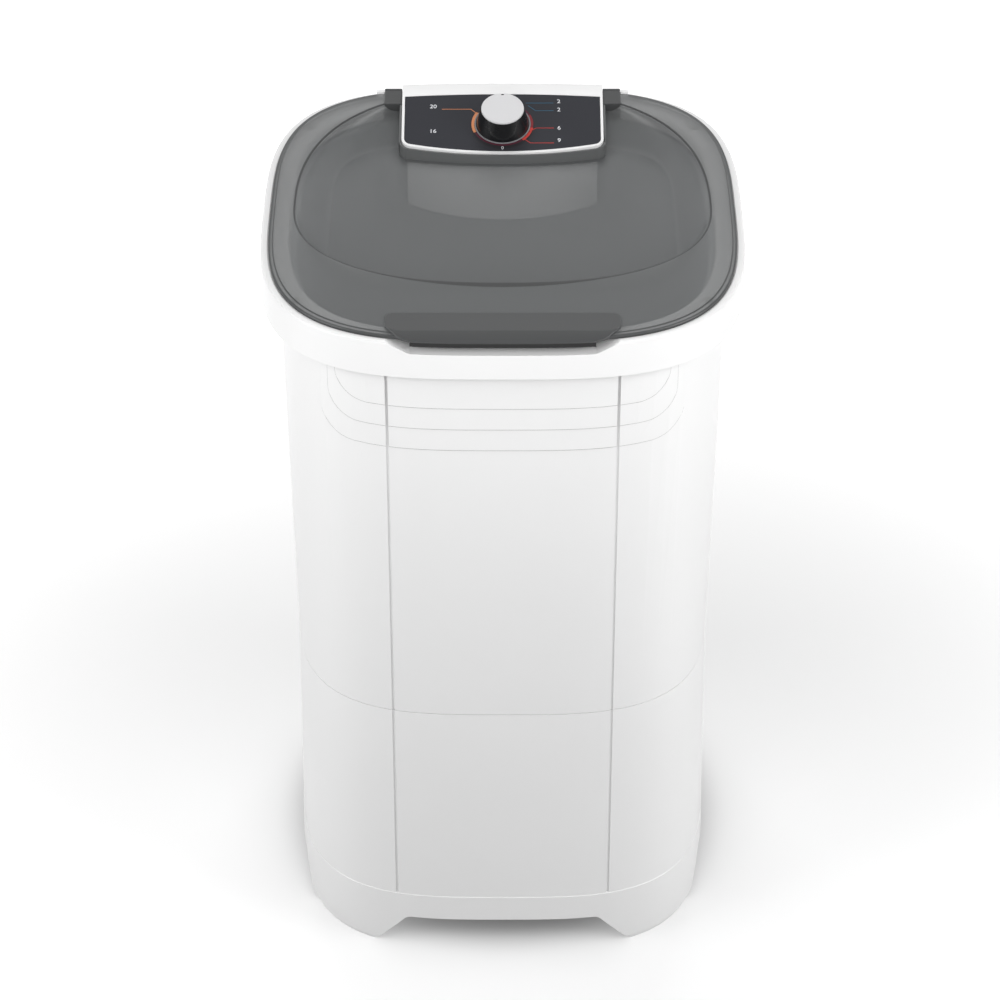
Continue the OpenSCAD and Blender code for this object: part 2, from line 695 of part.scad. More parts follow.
// The hollow under the panel, wider than the timer box below it
module console_hollow() {
    intersection() {
        console_block(console_wall, tub_top_z + console_wall, console_top_z + past);
        union() {
            above_slope_slab(panel_t + 3);
            console_block(panel_border + panel_ledge_w, tub_top_z, console_top_z + past);
        }
        translate([-console_half_w, 0, 0])
            cube([2 * console_half_w, console_back_y - console_wall, console_top_z - console_wall]);
    }
}

// The space that lies more than a depth below the sloping top
module above_slope_slab(depth) {
    on_panel() translate([-2 * console_half_w, -console_slope_l, -4 * console_slope_l - depth])
        cube([4 * console_half_w, 3 * console_slope_l, 4 * console_slope_l]);
}

module panel_plan(inset) {
    polygon(bulged(console_half_w - inset, inset, console_slope_l - inset - panel_bow, console_bulge,
        console_corner_r - inset, panel_bow));
}
module panel_recess() {
    on_panel() translate([0, 0, -panel_t]) linear_extrude(height = panel_t + past)
        panel_plan(panel_border - fit_gap / 2);
}
module control_panel() color(slate) on_panel() difference() {
    translate([0, 0, -panel_t]) linear_extrude(height = panel_t - 0.2) panel_plan(panel_border);
    translate([0, knob_v, -panel_t - past]) cylinder(r = timer_neck_r + fit_gap, h = panel_t + 2 * past);
    at_timer_screws() translate([0, 0, -panel_t - past]) cylinder(r = 1.8, h = panel_t + 2 * past);
}

// The knob and the timer

knob_v = console_slope_l * 0.478;
timer_neck_r = 7;
timer_screw_x = 15;
module at_timer_screws() {
    both_sides() translate([timer_screw_x, knob_v, 0]) children();
}

module dial_ring() color([0.8, 0.8, 0.82]) on_panel() translate([0, knob_v, -0.2])
    tube(knob_foot_d / 2 + 0.4 + dial_ring_w, knob_foot_d / 2 + 0.4, 1.2);

module timer_body() color([0.85, 0.85, 0.8]) on_panel() difference() {
    union() {
        translate([-timer_body_size.x / 2, knob_v - timer_body_size.y / 2, -panel_t - timer_body_size.z])
            cube(timer_body_size);
        translate([0, knob_v, -panel_t - past]) cylinder(r = timer_neck_r, h = panel_t + past + 2);
    }
    translate([0, knob_v, -panel_t - timer_depth]) cylinder(d = timer_shaft_d + 2 * run_clear,
        h = timer_depth + 2 * panel_t);
    at_timer_screws() translate([0, 0, -panel_t - 9]) cylinder(r = 1.5, h = 9 + past);
}
timer_depth = 26;
module timer_shaft() color(steel) on_panel() translate([0, knob_v, fit_gap - panel_t - timer_depth])
    difference() {
        cylinder(d = timer_shaft_d, h = timer_depth + panel_t + knob_h - 8);
        translate([timer_shaft_d / 4, -timer_shaft_d, timer_depth + panel_t + 6])
            cube([timer_shaft_d, 2 * timer_shaft_d, knob_h]);
    }
module timer_screws() color(steel) on_panel() at_timer_screws() {
    translate([0, 0, -panel_t - 8]) cylinder(r = 1.5, h = panel_t + 8);
    translate([0, 0, -0.2]) cylinder(r = 3, h = 1.8);
}

knob_taper = (knob_foot_d - knob_face_d) / 2;
module knob_skirt() color([0.07, 0.07, 0.07]) on_panel() translate([0, knob_v, knob_gap]) difference() {
    union() {
        difference() {
            rotate_extrude() polygon([
                [0, 0], [knob_foot_d / 2, 0], [knob_foot_d / 2 - 0.4, 1.5],
                [knob_face_d / 2 + 0.3, knob_h - knob_gap - knob_cap_t],
                [0, knob_h - knob_gap - knob_cap_t]]);
            translate([0, 0, -past]) cylinder(r1 = knob_foot_d / 2 - knob_wall,
                r2 = knob_foot_d / 2 - knob_wall - knob_taper * 0.75, h = knob_h - knob_gap - knob_cap_t - 2.5);
        }
        translate([0, 0, 2.5]) cylinder(r = timer_shaft_d / 2 + 2.5, h = knob_h - knob_gap - knob_cap_t - 3);
    }
    translate([0, 0, -past]) cylinder(d = timer_shaft_d + 0.04, h = knob_h - 8 + past);
}
module knob_cap() color(white) on_panel() translate([0, knob_v, knob_h - knob_cap_t]) difference() {
    rotate_extrude() polygon([[0, 0], [knob_face_d / 2, 0], [knob_face_d / 2, knob_cap_t - 0.8],
        [knob_face_d / 2 - 0.8, knob_cap_t], [0, knob_cap_t]]);
    translate([-1.6, knob_face_d / 2 - 3.4, -past]) cube([3.2, 4, knob_cap_t + 2 * past]);
}

// The lid

lid_front_y = -rim_half_w - plan_deeper + handle_lip_back;
floor_power = 5;
dish_power = 2.42;
step_z = lid_edge_z + 5;

// The lid's outlines stop at the notch for the console, so they run from its left side round to its right
notch_w = console_half_w + collar_gap + collar_t / 2;
function open_ring(a, z, n, bf, bb) =
    let (t0 = atan2(bb * pow(1 - pow(notch_w / a, n), 1 / n), notch_w))
    [for (i = [0 : plan_points])
        let (t = i == 0 ? 180 - t0 : i == plan_points ? t0 : 180 - t0 + (180 + 2 * t0) * i / plan_points,
            b = sin(t) < 0 ? bf : bb,
            r = pow(pow(abs(cos(t)) / a, n) + pow(abs(sin(t)) / b, n), -1 / n))
        [i == 0 ? -notch_w : i == plan_points ? notch_w : r * cos(t), r * sin(t), z]];
function edge_ring(inset, z) = let (a = lid_half_w - inset)
    open_ring(a, z, plan_power, a + plan_deeper, a + plan_deeper);
// Outlines of the dish: share of the way to its floor, share of its depth, and extra reach and height
function dish_ring(s, drop, out, lift) = open_ring(
    dish_half_w + (dish_floor_half_w - dish_half_w) * s + out,
    crown_z - 1.6 - (dish_depth - 1.6) * drop + lift, dish_power + (floor_power - dish_power) * s,
    dish_front + (dish_floor_front - dish_front) * s + out,
    dish_back + (dish_floor_back - dish_back) * s + out);

// The notch in the dish's floor, from its left side round the front to its right
function notch_line(z) = [for (p = front_line(notch_w, console_front_y - notch_w + console_half_w, console_bulge,
    console_corner_r + notch_w - console_half_w)) [p.x, p.y, z]];

module lid_shell() {
    rings = [
        dish_ring(1, 1, 0, -lid_t),
        dish_ring(0.9, 0.93, lid_t / 2, -lid_t),
        dish_ring(0.1, 0.12, lid_t, -lid_t / 2),
        dish_ring(0, 0, lid_t, 0.6 - lid_t),
        edge_ring(lid_step_w, step_z - lid_t),
        edge_ring(lid_t, lid_edge_z + 1.4),
        edge_ring(lid_t, lid_edge_z),
        edge_ring(0.6, lid_edge_z),
        edge_ring(0, lid_edge_z + 0.8),
        edge_ring(0, lid_edge_z + 3),
        edge_ring(1.2, lid_edge_z + 4.3),
        edge_ring(lid_step_w, lid_edge_z + 4.5),
        edge_ring(lid_step_w + 0.8, step_z + 0.4),
        dish_ring(0, 0, 1.6, 1.2),
        dish_ring(0, 0, 0, 0),
        dish_ring(0.1, 0.12, 0, 0),
        dish_ring(0.55, 0.62, 0, 0),
        dish_ring(0.9, 0.93, 0, 0),
        dish_ring(1, 1, 0, 0)];
    rows = len(rings);
    m = plan_points + 1;
    top = (rows - 1) * m;
    low_line = rows * m;
    k = len(notch_line(0));
    high_line = low_line + k;
    points = [each [for (r = rings) each r], each notch_line(dish_z - lid_t), each notch_line(dish_z)];
    sides = [for (q = [0 : rows - 2]) for (i = [0 : plan_points - 1])
        let (p = q * m, u = p + m)
        each [[p + i, u + i, u + i + 1], [p + i, u + i + 1, p + i + 1]]];
    left_end = [for (q = [rows - 1 : -1 : 0]) q * m];
    right_end = [for (q = [0 : rows - 1]) q * m + plan_points];
    left_wall = [[0, low_line, high_line, top]];
    right_wall = [[plan_points, top + plan_points, high_line + k - 1, low_line + k - 1]];
    front_wall = [for (i = [0 : k - 2]) [low_line + i, low_line + i + 1, high_line + i + 1, high_line + i]];
    under = [each [for (i = [0 : plan_points]) i], each [for (i = [k - 1 : -1 : 0]) low_line + i]];
    over = [each [for (i = [plan_points : -1 : 0]) top + i], each [for (i = [0 : k - 1]) high_line + i]];
    polyhedron(points, [each sides, left_end, right_end, each left_wall, each right_wall,
        each front_wall, under, over], convexity = 10);
}

module notch(clear, z0, z1) {
    translate([0, 0, z0]) linear_extrude(height = z1 - z0) polygon(bulged(console_half_w + clear,
        console_front_y - clear, rim_half_w + 2 * plan_deeper, console_bulge, console_corner_r + clear));
}

collar_back_y = hinge_y - 33;
collar_foot_z = dish_z - lid_t - 0.5;
module collar() {
    intersection() {
        difference() {
            notch(collar_gap + collar_t, collar_foot_z, crown_z + past);
            notch(collar_gap, collar_foot_z - past, crown_z + 2 * past);
        }
        across(console_half_w + 20, [
            [console_front_y - 20, collar_foot_z - past], [dish_floor_back, collar_foot_z - past],
            [collar_back_y, hinge_z - 8], [hinge_y, hinge_z - 5], [hinge_y, hinge_z + 5],
            [collar_back_y, hinge_z + 5], [console_front_y, console_front_z - 1.5],
            [console_front_y - 20, console_front_z - 1.5]]);
    }
}

module hinge_lug() {
    x0 = console_half_w + collar_gap + 0.2;
    translate([x0, hinge_y, hinge_z]) rotate([0, 90, 0]) cylinder(r = lug_r, h = lug_w + collar_t);
    translate([x0, collar_back_y - 1, hinge_z - 4]) cube([lug_w + collar_t - 0.2, 34, 3.4 + lug_r]);
}

// Front outline of the handle lip, which runs along with the rim
function lip_front(w, y_at) = let (steps = 15) [for (i = [0 : steps]) let (x = w * (2 * i / steps - 1))
    [x, y_at + rim_half_w + plan_deeper - reach(rim_half_w, x)]];

lip_slope = 16;
pad_front_y = lid_front_y + lip_slope;
module handle() {
    pad_z = crown_z - 0.6;
    under_z = lid_edge_z + 0.9;
    intersection() {
        linear_extrude(height = 2 * rim_top_z) polygon(concat(
            lip_front(handle_lip_half_w, lid_front_y),
            [[dip_half_mouth - 1, lid_front_y + 22], [dip_half_mouth - 1, lid_front_y + 40],
                [1 - dip_half_mouth, lid_front_y + 40], [1 - dip_half_mouth, lid_front_y + 22]]));
        across(dip_half_mouth + 5, [[lid_front_y + 50, under_z + 3], [lid_front_y + 26, under_z],
            [lid_front_y + 1, under_z], [lid_front_y - 5, under_z + 1.5],
            [lid_front_y, lid_edge_z + 2.5], [pad_front_y, pad_z - 0.3], [lid_front_y + 50, pad_z - 2]]);
    }
    translate([0, 0, lid_edge_z + 3]) linear_extrude(height = pad_z - lid_edge_z - 3) polygon(rounded([
        [-handle_half_w, pad_front_y + 6.5, 5], [-handle_half_w + 14, pad_front_y + 0.5, 4],
        [handle_half_w - 14, pad_front_y + 0.5, 4], [handle_half_w, pad_front_y + 6.5, 5],
        [handle_half_w, pad_front_y + handle_pad_d, 7], [-handle_half_w, pad_front_y + handle_pad_d, 7]]));
}

module lid() color(smoke) difference() {
    union() {
        lid_shell();
        handle();
        collar();
        both_sides() hinge_lug();
        at_lid_buffers() translate([0, 0, buffer_top_z]) cylinder(d = buffer_d + 1, h = 2.5);
    }
    both_sides() {
        translate([console_half_w, hinge_y, hinge_z]) rotate([0, 90, 0])
            cylinder(d = pin_d + 2 * run_clear, h = lug_w + 3 * collar_t);
        translate([pocket_x - 0.3, hinge_y - boss_r - 1.5, lid_edge_z - past])
            cube([boss_w + 1.4, 4 * boss_r, 20]);
    }
}

// Rubber buffers under the lid's edge, near its corners
buffer_top_z = lid_edge_z + 1.4;
module at_lid_buffers() {
    a = lid_half_w - lid_t - buffer_d / 2 - 2;
    both_sides() for (s = [-1, 1]) translate([a - 28, s * reach(a, a - 28), 0]) children();
}
module lid_buffers() color(rubber) at_lid_buffers() translate([0, 0, ledge_z + fit_gap])
    cylinder(d = buffer_d, h = buffer_top_z - ledge_z - fit_gap);

// The bearing and the shaft

bearing_flange_t = 6;
barrel_top_z = tub_floor_z + 6;
bearing_screw_r = bearing_flange_d / 2 - 10;
flange_under_z = tub_under_z - bearing_flange_t;
barrel_foot_z = tub_under_z - barrel_l;
bush_r = bush_d / 2;
module at_bearing_screws() {
    for (i = [0 : 5]) rotate([0, 0, 60 * i + 30]) translate([bearing_screw_r, 0, 0]) children();
}
module bearing_housing() color([0.6, 0.6, 0.6]) difference() {
    union() {
        translate([0, 0, flange_under_z]) cylinder(d = bearing_flange_d, h = bearing_flange_t);
        translate([0, 0, barrel_foot_z]) cylinder(d = barrel_d, h = barrel_top_z - barrel_foot_z);
        for (i = [0 : 5]) rotate([0, 0, 60 * i]) translate([0, 0, barrel_foot_z + 20])
            rotate([90, 0, 0]) translate([0, 0, -2]) linear_extrude(height = 4)
                polygon([[barrel_d / 2 - 1, 0], [barrel_d / 2 + 2, 0],
                    [bearing_flange_d / 2 - 18, flange_under_z - barrel_foot_z - 19],
                    [barrel_d / 2 - 1, flange_under_z - barrel_foot_z - 19]]);
    }
    translate([0, 0, barrel_foot_z - past]) cylinder(r = bush_r + 0.02, h = bush_l + past);
    translate([0, 0, barrel_foot_z]) cylinder(r = bush_r - 2, h = barrel_top_z - barrel_foot_z);
    translate([0, 0, barrel_top_z - 12 - bush_l]) cylinder(r = bush_r + 0.02, h = bush_l + 12 + past);
    at_bearing_screws() translate([0, 0, flange_under_z - past])
        cylinder(r = screw_r + 0.5 + run_clear, h = bearing_flange_t + 2 * past);
}
module shaft_bushes() color([0.75, 0.6, 0.35])
    for (z = [barrel_foot_z, barrel_top_z - 12 - bush_l]) translate([0, 0, z])
        tube(bush_r, shaft_d / 2 + run_clear, bush_l);
module shaft_seal() color(rubber) translate([0, 0, barrel_top_z - 11.5]) difference() {
    tube(bush_r, shaft_d / 2 + run_clear, 11.5);
    translate([0, 0, 4]) tube(bush_r - 1.5, shaft_d / 2 + 1.5, 9);
}
module bearing_screws() color(steel) at_bearing_screws() {
    translate([0, 0, flange_under_z]) cylinder(r = screw_r + 0.5, h = bearing_flange_t + tub_wall);
    translate([0, 0, flange_under_z - 4]) cylinder(r = 5, h = 4, $fn = 6);
}

belt_z = tub_floor_z - belt_drop;
pulley_half_h = belt_size[0] / 2 + 3.5;
shaft_foot_z = belt_z - pulley_half_h - 12;
agitator_foot_z = tub_floor_z + 4;
washer_z = agitator_foot_z + agitator_h - 11;
shaft_top_z = washer_z - 4;
module drive_shaft() color(steel) translate([0, 0, shaft_foot_z]) difference() {
    cylinder(d = shaft_d, h = shaft_top_z - shaft_foot_z);
    translate([0, 0, shaft_top_z - shaft_foot_z - 20]) cylinder(r = bolt_r + 0.02, h = 20 + past);
}

// A flat-belt pulley: running radius, hub radius, shaft diameter
module pulley(run_r, hub_r, bore_d) {
    edge = belt_size[0] / 2 + belt_clear;
    flange_r = run_r + belt_size[1] + 1.5;
    web = 2.5;
    rim_in = run_r - 6;
    difference() {
        rotate_extrude() polygon([
            [bore_d / 4, -pulley_half_h], [flange_r, -pulley_half_h], [flange_r, -edge - 0.8],
            [run_r, -edge], [run_r, edge], [flange_r, edge + 0.8], [flange_r, pulley_half_h],
            [bore_d / 4, pulley_half_h]]);
        translate([0, 0, -2 * pulley_half_h]) cylinder(d = bore_d + 0.04, h = 4 * pulley_half_h);
        if (rim_in > hub_r) for (side = [0, 1]) mirror([0, 0, side]) translate([0, 0, web]) difference() {
            cylinder(r = rim_in, h = pulley_half_h);
            translate([0, 0, -past]) cylinder(r = hub_r, h = pulley_half_h + 2 * past);
        }
    }
}
module driven_pulley() color([0.3, 0.3, 0.3]) translate([0, 0, belt_z]) difference() {
    pulley(driven_r, 20, shaft_d);
    for (i = [0 : 5]) rotate([0, 0, 60 * i]) translate([driven_r * 0.56, 0, -5])
        cylinder(r = driven_r * 0.2, h = 10);
}
module pulley_nut() color(steel) translate([0, 0, belt_z - pulley_half_h - 9]) difference() {
    cylinder(r = shaft_d * 0.8, h = 9, $fn = 6);
    translate([0, 0, -past]) cylinder(d = shaft_d + 0.04, h = 9 + 2 * past);
}

// The belt: an outline round both pulleys, at a distance from their running faces. Its straight runs lie a
// touch inside the tangents, so that they cross the circles instead of touching them
belt_tuck = 0.05;
module belt_outline(off) {
    r1 = driven_r + off;
    r2 = motor_pulley_r + off;
    lean = asin((r1 - r2) / motor_offset);
    x = cos(lean);
    y = sin(lean);
    s1 = r1 - belt_tuck;
    s2 = r2 - belt_tuck;
    circle(r = r1, $fn = 96);
    translate([0, motor_offset]) circle(r = r2, $fn = 48);
    polygon([[s1 * x, s1 * y], [s2 * x, motor_offset + s2 * y], [-s2 * x, motor_offset + s2 * y], [-s1 * x, s1 * y]]);
}
module drive_belt() color(rubber) translate([0, 0, belt_z - belt_size[0] / 2])
    linear_extrude(height = belt_size[0]) difference() {
        belt_outline(belt_clear + belt_size[1]);
        belt_outline(belt_clear);
    }

// The agitator

agitator_hub_r = 44;
module agitator_skin(drop) {
    r = agitator_d / 2 - drop / 2;
    rotate_extrude($fn = 96) polygon([
        [0, -past * drop], [r, -past * drop], [r, 7 - drop], [r - 4, 9 - drop],
        [r * 0.6, 17 - drop], [agitator_hub_r + 18, 29 - drop], [agitator_hub_r, agitator_h - 12 - drop],
        [agitator_hub_r - 6, agitator_h - 5 - drop], [0, agitator_h - 5 - drop]]);
}
module agitator() color([0.93, 0.93, 0.93]) translate([0, 0, agitator_foot_z]) difference() {
    union() {
        difference() {
            union() {
                agitator_skin(0);
                for (i = [0 : agitator_fins - 1]) rotate([0, 0, 360 * i / agitator_fins]) fin();
            }
            agitator_skin(agitator_wall);
        }
        translate([0, 0, 8]) cylinder(r = shaft_d / 2 + 7, h = agitator_h - 18);
        translate([0, 0, agitator_h - 17]) cylinder(r = agitator_hub_r - 5, h = 8);
    }
    translate([0, 0, -past]) cylinder(d = shaft_d + 0.04, h = shaft_top_z - agitator_foot_z + past);
    translate([0, 0, -past]) cylinder(r = bolt_r + 0.5, h = agitator_h + 9);
    translate([0, 0, washer_z - agitator_foot_z]) cylinder(r = cap_r - 3, h = 20);
}
module fin() {
    rotate([90, 0, 0]) translate([0, 0, -4]) linear_extrude(height = 8) polygon([
        [agitator_hub_r - 12, 10], [agitator_d / 2 - 16, 4], [agitator_d / 2 - 14, 26],
        [agitator_d / 2 - 24, 32], [agitator_hub_r + 6, agitator_h], [agitator_hub_r - 12, agitator_h - 6]]);
}
cap_r = 22;
module agitator_cap() color(white) translate([0, 0, agitator_foot_z + agitator_h - 5]) difference() {
    rotate_extrude() polygon([[0, 0], [cap_r, 0], [cap_r, 5], [cap_r - 4, 9], [cap_r - 10, 11], [0, 12]]);
    translate([0, 0, -past]) cylinder(r = cap_r - 4, h = 7 + past);
}
module agitator_bolt() color(steel) {
    translate([0, 0, shaft_top_z - 17]) cylinder(r = bolt_r, h = washer_z + 3 - shaft_top_z + 17);
    translate([0, 0, washer_z]) cylinder(r = 9, h = 1.6);
    translate([0, 0, washer_z + 1.6]) cylinder(r = 5.5, h = 4, $fn = 6);
}

// The motor

plate_t = 3;
mount_r = 9;
mount_h = 9;
mount_top_z = tub_under_z - 6;
plate_top_z = mount_top_z - mount_h;
plate_under_z = plate_top_z - plate_t;
mount_xs = [-70, 70];
mount_ys = [-45, 14];
bracket_margin = 13;
bracket_tail = [40, 50];
capacitor_ear = [22, 24];
motor_r = motor_d / 2;
cover_top_z = plate_under_z;
shell_top_z = cover_top_z - motor_cover_l;
shell_foot_z = shell_top_z - motor_shell_l;
cover_foot_z = shell_foot_z - motor_cover_l;
capacitor_x = -(motor_r + capacitor_size[0] / 2 + 14);
tie_r = motor_r - 8;

module at_motor() {
    translate([0, motor_offset, 0]) children();
}
module at_motor_mounts() {
    at_motor() for (x = mount_xs) for (y = mount_ys) translate([x, y, 0]) children();
}
module at_tie_bolts() {
    at_motor() for (i = [0 : 3]) rotate([0, 0, 90 * i]) translate([tie_r, 0, 0]) children();
}
module motor_bracket() color(steel) difference() {
    left_x = mount_xs[0] - bracket_margin;
    right_x = mount_xs[1] + bracket_margin;
    front_y = motor_offset + mount_ys[0] - bracket_margin;
    shoulder_y = motor_offset + mount_ys[1] + bracket_margin;
    ear_x = capacitor_x - capacitor_ear[0];
    translate([0, 0, plate_under_z]) linear_extrude(height = plate_t) polygon(rounded([
        [ear_x, motor_offset - capacitor_ear[1], 8], [left_x, front_y, 10],
        [right_x, front_y, 10], [right_x, shoulder_y, 10],
        [bracket_tail[0], motor_offset + bracket_tail[1], 10],
        [-bracket_tail[0], motor_offset + bracket_tail[1], 10], [left_x, shoulder_y, 10],
        [ear_x, motor_offset + capacitor_ear[1], 8]]));
    at_motor() translate([0, 0, plate_under_z - past]) cylinder(r = 24, h = plate_t + 2 * past);
    at_motor_mounts() translate([0, 0, plate_under_z - past])
        cylinder(r = bolt_r + 0.2, h = plate_t + 2 * past);
    at_tie_bolts() translate([0, 0, plate_under_z - past]) cylinder(r = 2.7, h = plate_t + 2 * past);
    translate([capacitor_x, motor_offset, plate_under_z - past]) cylinder(r = 4.2, h = plate_t + 2 * past);
}
module motor_mounts() color(rubber) at_motor_mounts() translate([0, 0, plate_top_z])
    tube(mount_r, bolt_r + run_clear, mount_h);
module motor_bolts() color(steel) at_motor_mounts() {
    translate([0, 0, plate_under_z]) cylinder(r = bolt_r, h = plate_t + mount_h + 5);
    translate([0, 0, plate_under_z - 4]) cylinder(r = 5.5, h = 4, $fn = 6);
}
module motor_shell() color([0.55, 0.56, 0.58]) at_motor() translate([0, 0, shell_foot_z])
    difference() {
        tube(motor_r - 2, 22, motor_shell_l);
        for (i = [0 : 3]) rotate([0, 0, 90 * i]) translate([tie_r, 0, -past])
            cylinder(r = 2.7, h = motor_shell_l + 2 * past);
    }

// A motor cover: a cup with vents, its closed face at the bottom
module motor_cover() {
    difference() {
        cylinder(r = motor_r, h = motor_cover_l);
        translate([0, 0, 4]) cylinder(r = motor_r - 14, h = motor_cover_l);
        translate([0, 0, -past]) cylinder(r = motor_shaft_d / 2 + run_clear, h = motor_cover_l);
        for (i = [0 : 7]) rotate([0, 0, 45 * i + 22.5]) translate([30, 0, -past])
            cylinder(r = 7, h = motor_cover_l);
        for (i = [0 : 3]) rotate([0, 0, 90 * i]) translate([tie_r, 0, -past])
            cylinder(r = 2.7, h = motor_cover_l + 2 * past);
    }
}
module motor_top_cover() color(steel) at_motor() translate([0, 0, cover_top_z]) mirror([0, 0, 1])
    motor_cover();
module motor_foot_cover() color(steel) at_motor() translate([0, 0, cover_foot_z]) motor_cover();
module motor_tie_bolts() color(steel) at_tie_bolts() {
    translate([0, 0, cover_foot_z]) cylinder(r = 2.5, h = plate_top_z + 5 - cover_foot_z);
    translate([0, 0, cover_foot_z - 4]) cylinder(r = 4.5, h = 4, $fn = 6);
    translate([0, 0, plate_top_z]) cylinder(r = 4.5, h = 4, $fn = 6);
}
motor_shaft_foot_z = belt_z - pulley_half_h - 2;
module motor_shaft() color(steel) at_motor() {
    translate([0, 0, motor_shaft_foot_z]) cylinder(d = motor_shaft_d,
        h = plate_top_z + 3 - motor_shaft_foot_z);
    translate([0, 0, shell_foot_z + 6]) cylinder(r = 21, h = motor_shell_l - 12);
}
module motor_pulley() color([0.6, 0.6, 0.62]) at_motor() translate([0, 0, belt_z])
    pulley(motor_pulley_r, motor_pulley_r - 4, motor_shaft_d);
fan_top_z = cover_foot_z - 5;
module motor_fan() color([0.2, 0.2, 0.2]) at_motor() translate([0, 0, fan_top_z - 9]) difference() {
    union() {
        cylinder(r = 44, h = 1.6);
        cylinder(r = 12, h = 9);
        for (i = [0 : 8]) rotate([0, 0, 40 * i]) translate([14, -0.8, 0]) cube([29, 1.6, 8]);
    }
    translate([0, 0, -past]) cylinder(d = motor_shaft_d + 0.04, h = 9 + 2 * past);
}
module capacitor() color([0.85, 0.86, 0.9]) translate([capacitor_x, motor_offset, 0]) {
    translate([0, 0, plate_under_z - capacitor_size[1]]) cylinder(d = capacitor_size[0], h = capacitor_size[1]);
    translate([0, 0, plate_under_z]) cylinder(r = 4, h = plate_t + 9);
}
module capacitor_nut() color(steel) translate([capacitor_x, motor_offset, plate_top_z]) difference() {
    cylinder(r = 7.5, h = 6, $fn = 6);
    translate([0, 0, -past]) cylinder(r = 4.02, h = 6 + 2 * past);
}

// The drain

drain_neck_r = drain_pipe_d / 2;
drain_flange_r = drain_neck_r + 9;
drain_top_z = tub_under_z - 3;
drain_straight = 6;
drain_z = drain_top_z - drain_straight - drain_bend_r;
elbow_end_y = drain_at.y + drain_bend_r + 34;
hose_r = drain_neck_r + fit_gap / 2 + drain_wall;
spout_root_r = drain_neck_r;
spout_stand = 2.6;
back_y = reach(skin(drain_z), drain_at.x);
hose_start_y = elbow_end_y - 22;
hose_end_y = back_y - 16;

module drain_strainer() color(steel) translate([drain_at.x, drain_at.y, tub_under_z]) difference() {
    union() {
        cylinder(r = drain_neck_r - drain_wall - fit_gap, h = tub_wall + 1);
        translate([0, 0, tub_wall]) cylinder(r = drain_neck_r + 5, h = 1.6);
    }
    translate([0, 0, -past]) cylinder(r = drain_neck_r - 2 * drain_wall, h = tub_wall);
    for (x = [-9 : 6 : 9]) translate([x - 1.5, -8, 0]) cube([3, 16, 2 * tub_wall]);
}
module drain_elbow() color([0.3, 0.3, 0.3]) translate([drain_at.x, drain_at.y, 0]) {
    translate([0, 0, drain_top_z - drain_straight]) tube(drain_neck_r, drain_neck_r - drain_wall,
        drain_straight + 3 + tub_wall - 0.2);
    translate([0, 0, drain_top_z]) tube(drain_flange_r, drain_neck_r - 1, 3);
    translate([0, drain_bend_r, drain_top_z - drain_straight]) rotate([90, 0, 90]) rotate([0, 0, 180])
        rotate_extrude(angle = 90) translate([drain_bend_r, 0]) difference() {
            circle(r = drain_neck_r);
            circle(r = drain_neck_r - drain_wall);
        }
    translate([0, drain_bend_r, drain_z]) rotate([-90, 0, 0])
        tube(drain_neck_r, drain_neck_r - drain_wall, 34);
}
module drain_hose() color([0.55, 0.55, 0.55]) translate([drain_at.x, hose_start_y, drain_z])
    rotate([-90, 0, 0]) {
        l = hose_end_y - hose_start_y;
        tube(hose_r, hose_r - drain_wall, l);
        for (y = [26 : 8 : l - 26]) translate([0, 0, y]) tube(hose_r + 1.8, hose_r - 1, 4);
    }
module hose_clamps() color(steel) for (y = [hose_start_y + 5, hose_end_y - 15])
    translate([drain_at.x, y, drain_z]) rotate([-90, 0, 0]) {
        tube(hose_r + 0.3 + 1.2, hose_r + 0.3, 9);
        translate([-5, hose_r + 1.2, 1]) cube([10, 7, 7]);
    }
module drain_spout() color([0.35, 0.35, 0.36]) translate([drain_at.x, 0, drain_z]) rotate([-90, 0, 0]) {
    translate([0, 0, hose_end_y - 20]) tube(spout_root_r, spout_root_r - drain_wall, back_y - hose_end_y + 20);
    translate([0, 0, back_y + spout_stand]) tube(spout_root_r + 4, spout_d / 2 - drain_wall, 2.5);
    translate([0, 0, back_y - 1]) tube(spout_root_r, spout_d / 2 - drain_wall, spout_stand + 2);
    translate([0, 0, back_y + spout_stand]) tube(spout_d / 2, spout_d / 2 - drain_wall, spout_l);
}

gland_r = gland_bore_d / 2 + 4;
module cord_gland() color(rubber) {
    y = reach(skin(gland_at.y), gland_at.x);
    translate([gland_at.x, y - cabinet_wall - 8, gland_at.y]) rotate([-90, 0, 0]) difference() {
        union() {
            cylinder(r = gland_r, h = cabinet_wall + 8 + 4);
            translate([0, 0, cabinet_wall + 10]) cylinder(r = gland_r + 4, h = 3);
            translate([0, 0, cabinet_wall + 10]) cylinder(r1 = gland_r + 1, r2 = gland_r - 1.5, h = 12);
            cylinder(r = gland_r + 2.5, h = 4);
        }
        translate([0, 0, -past]) cylinder(d = gland_bore_d, h = cabinet_wall + 30);
    }
}

// The wiring from the timer down behind the tub to the motor

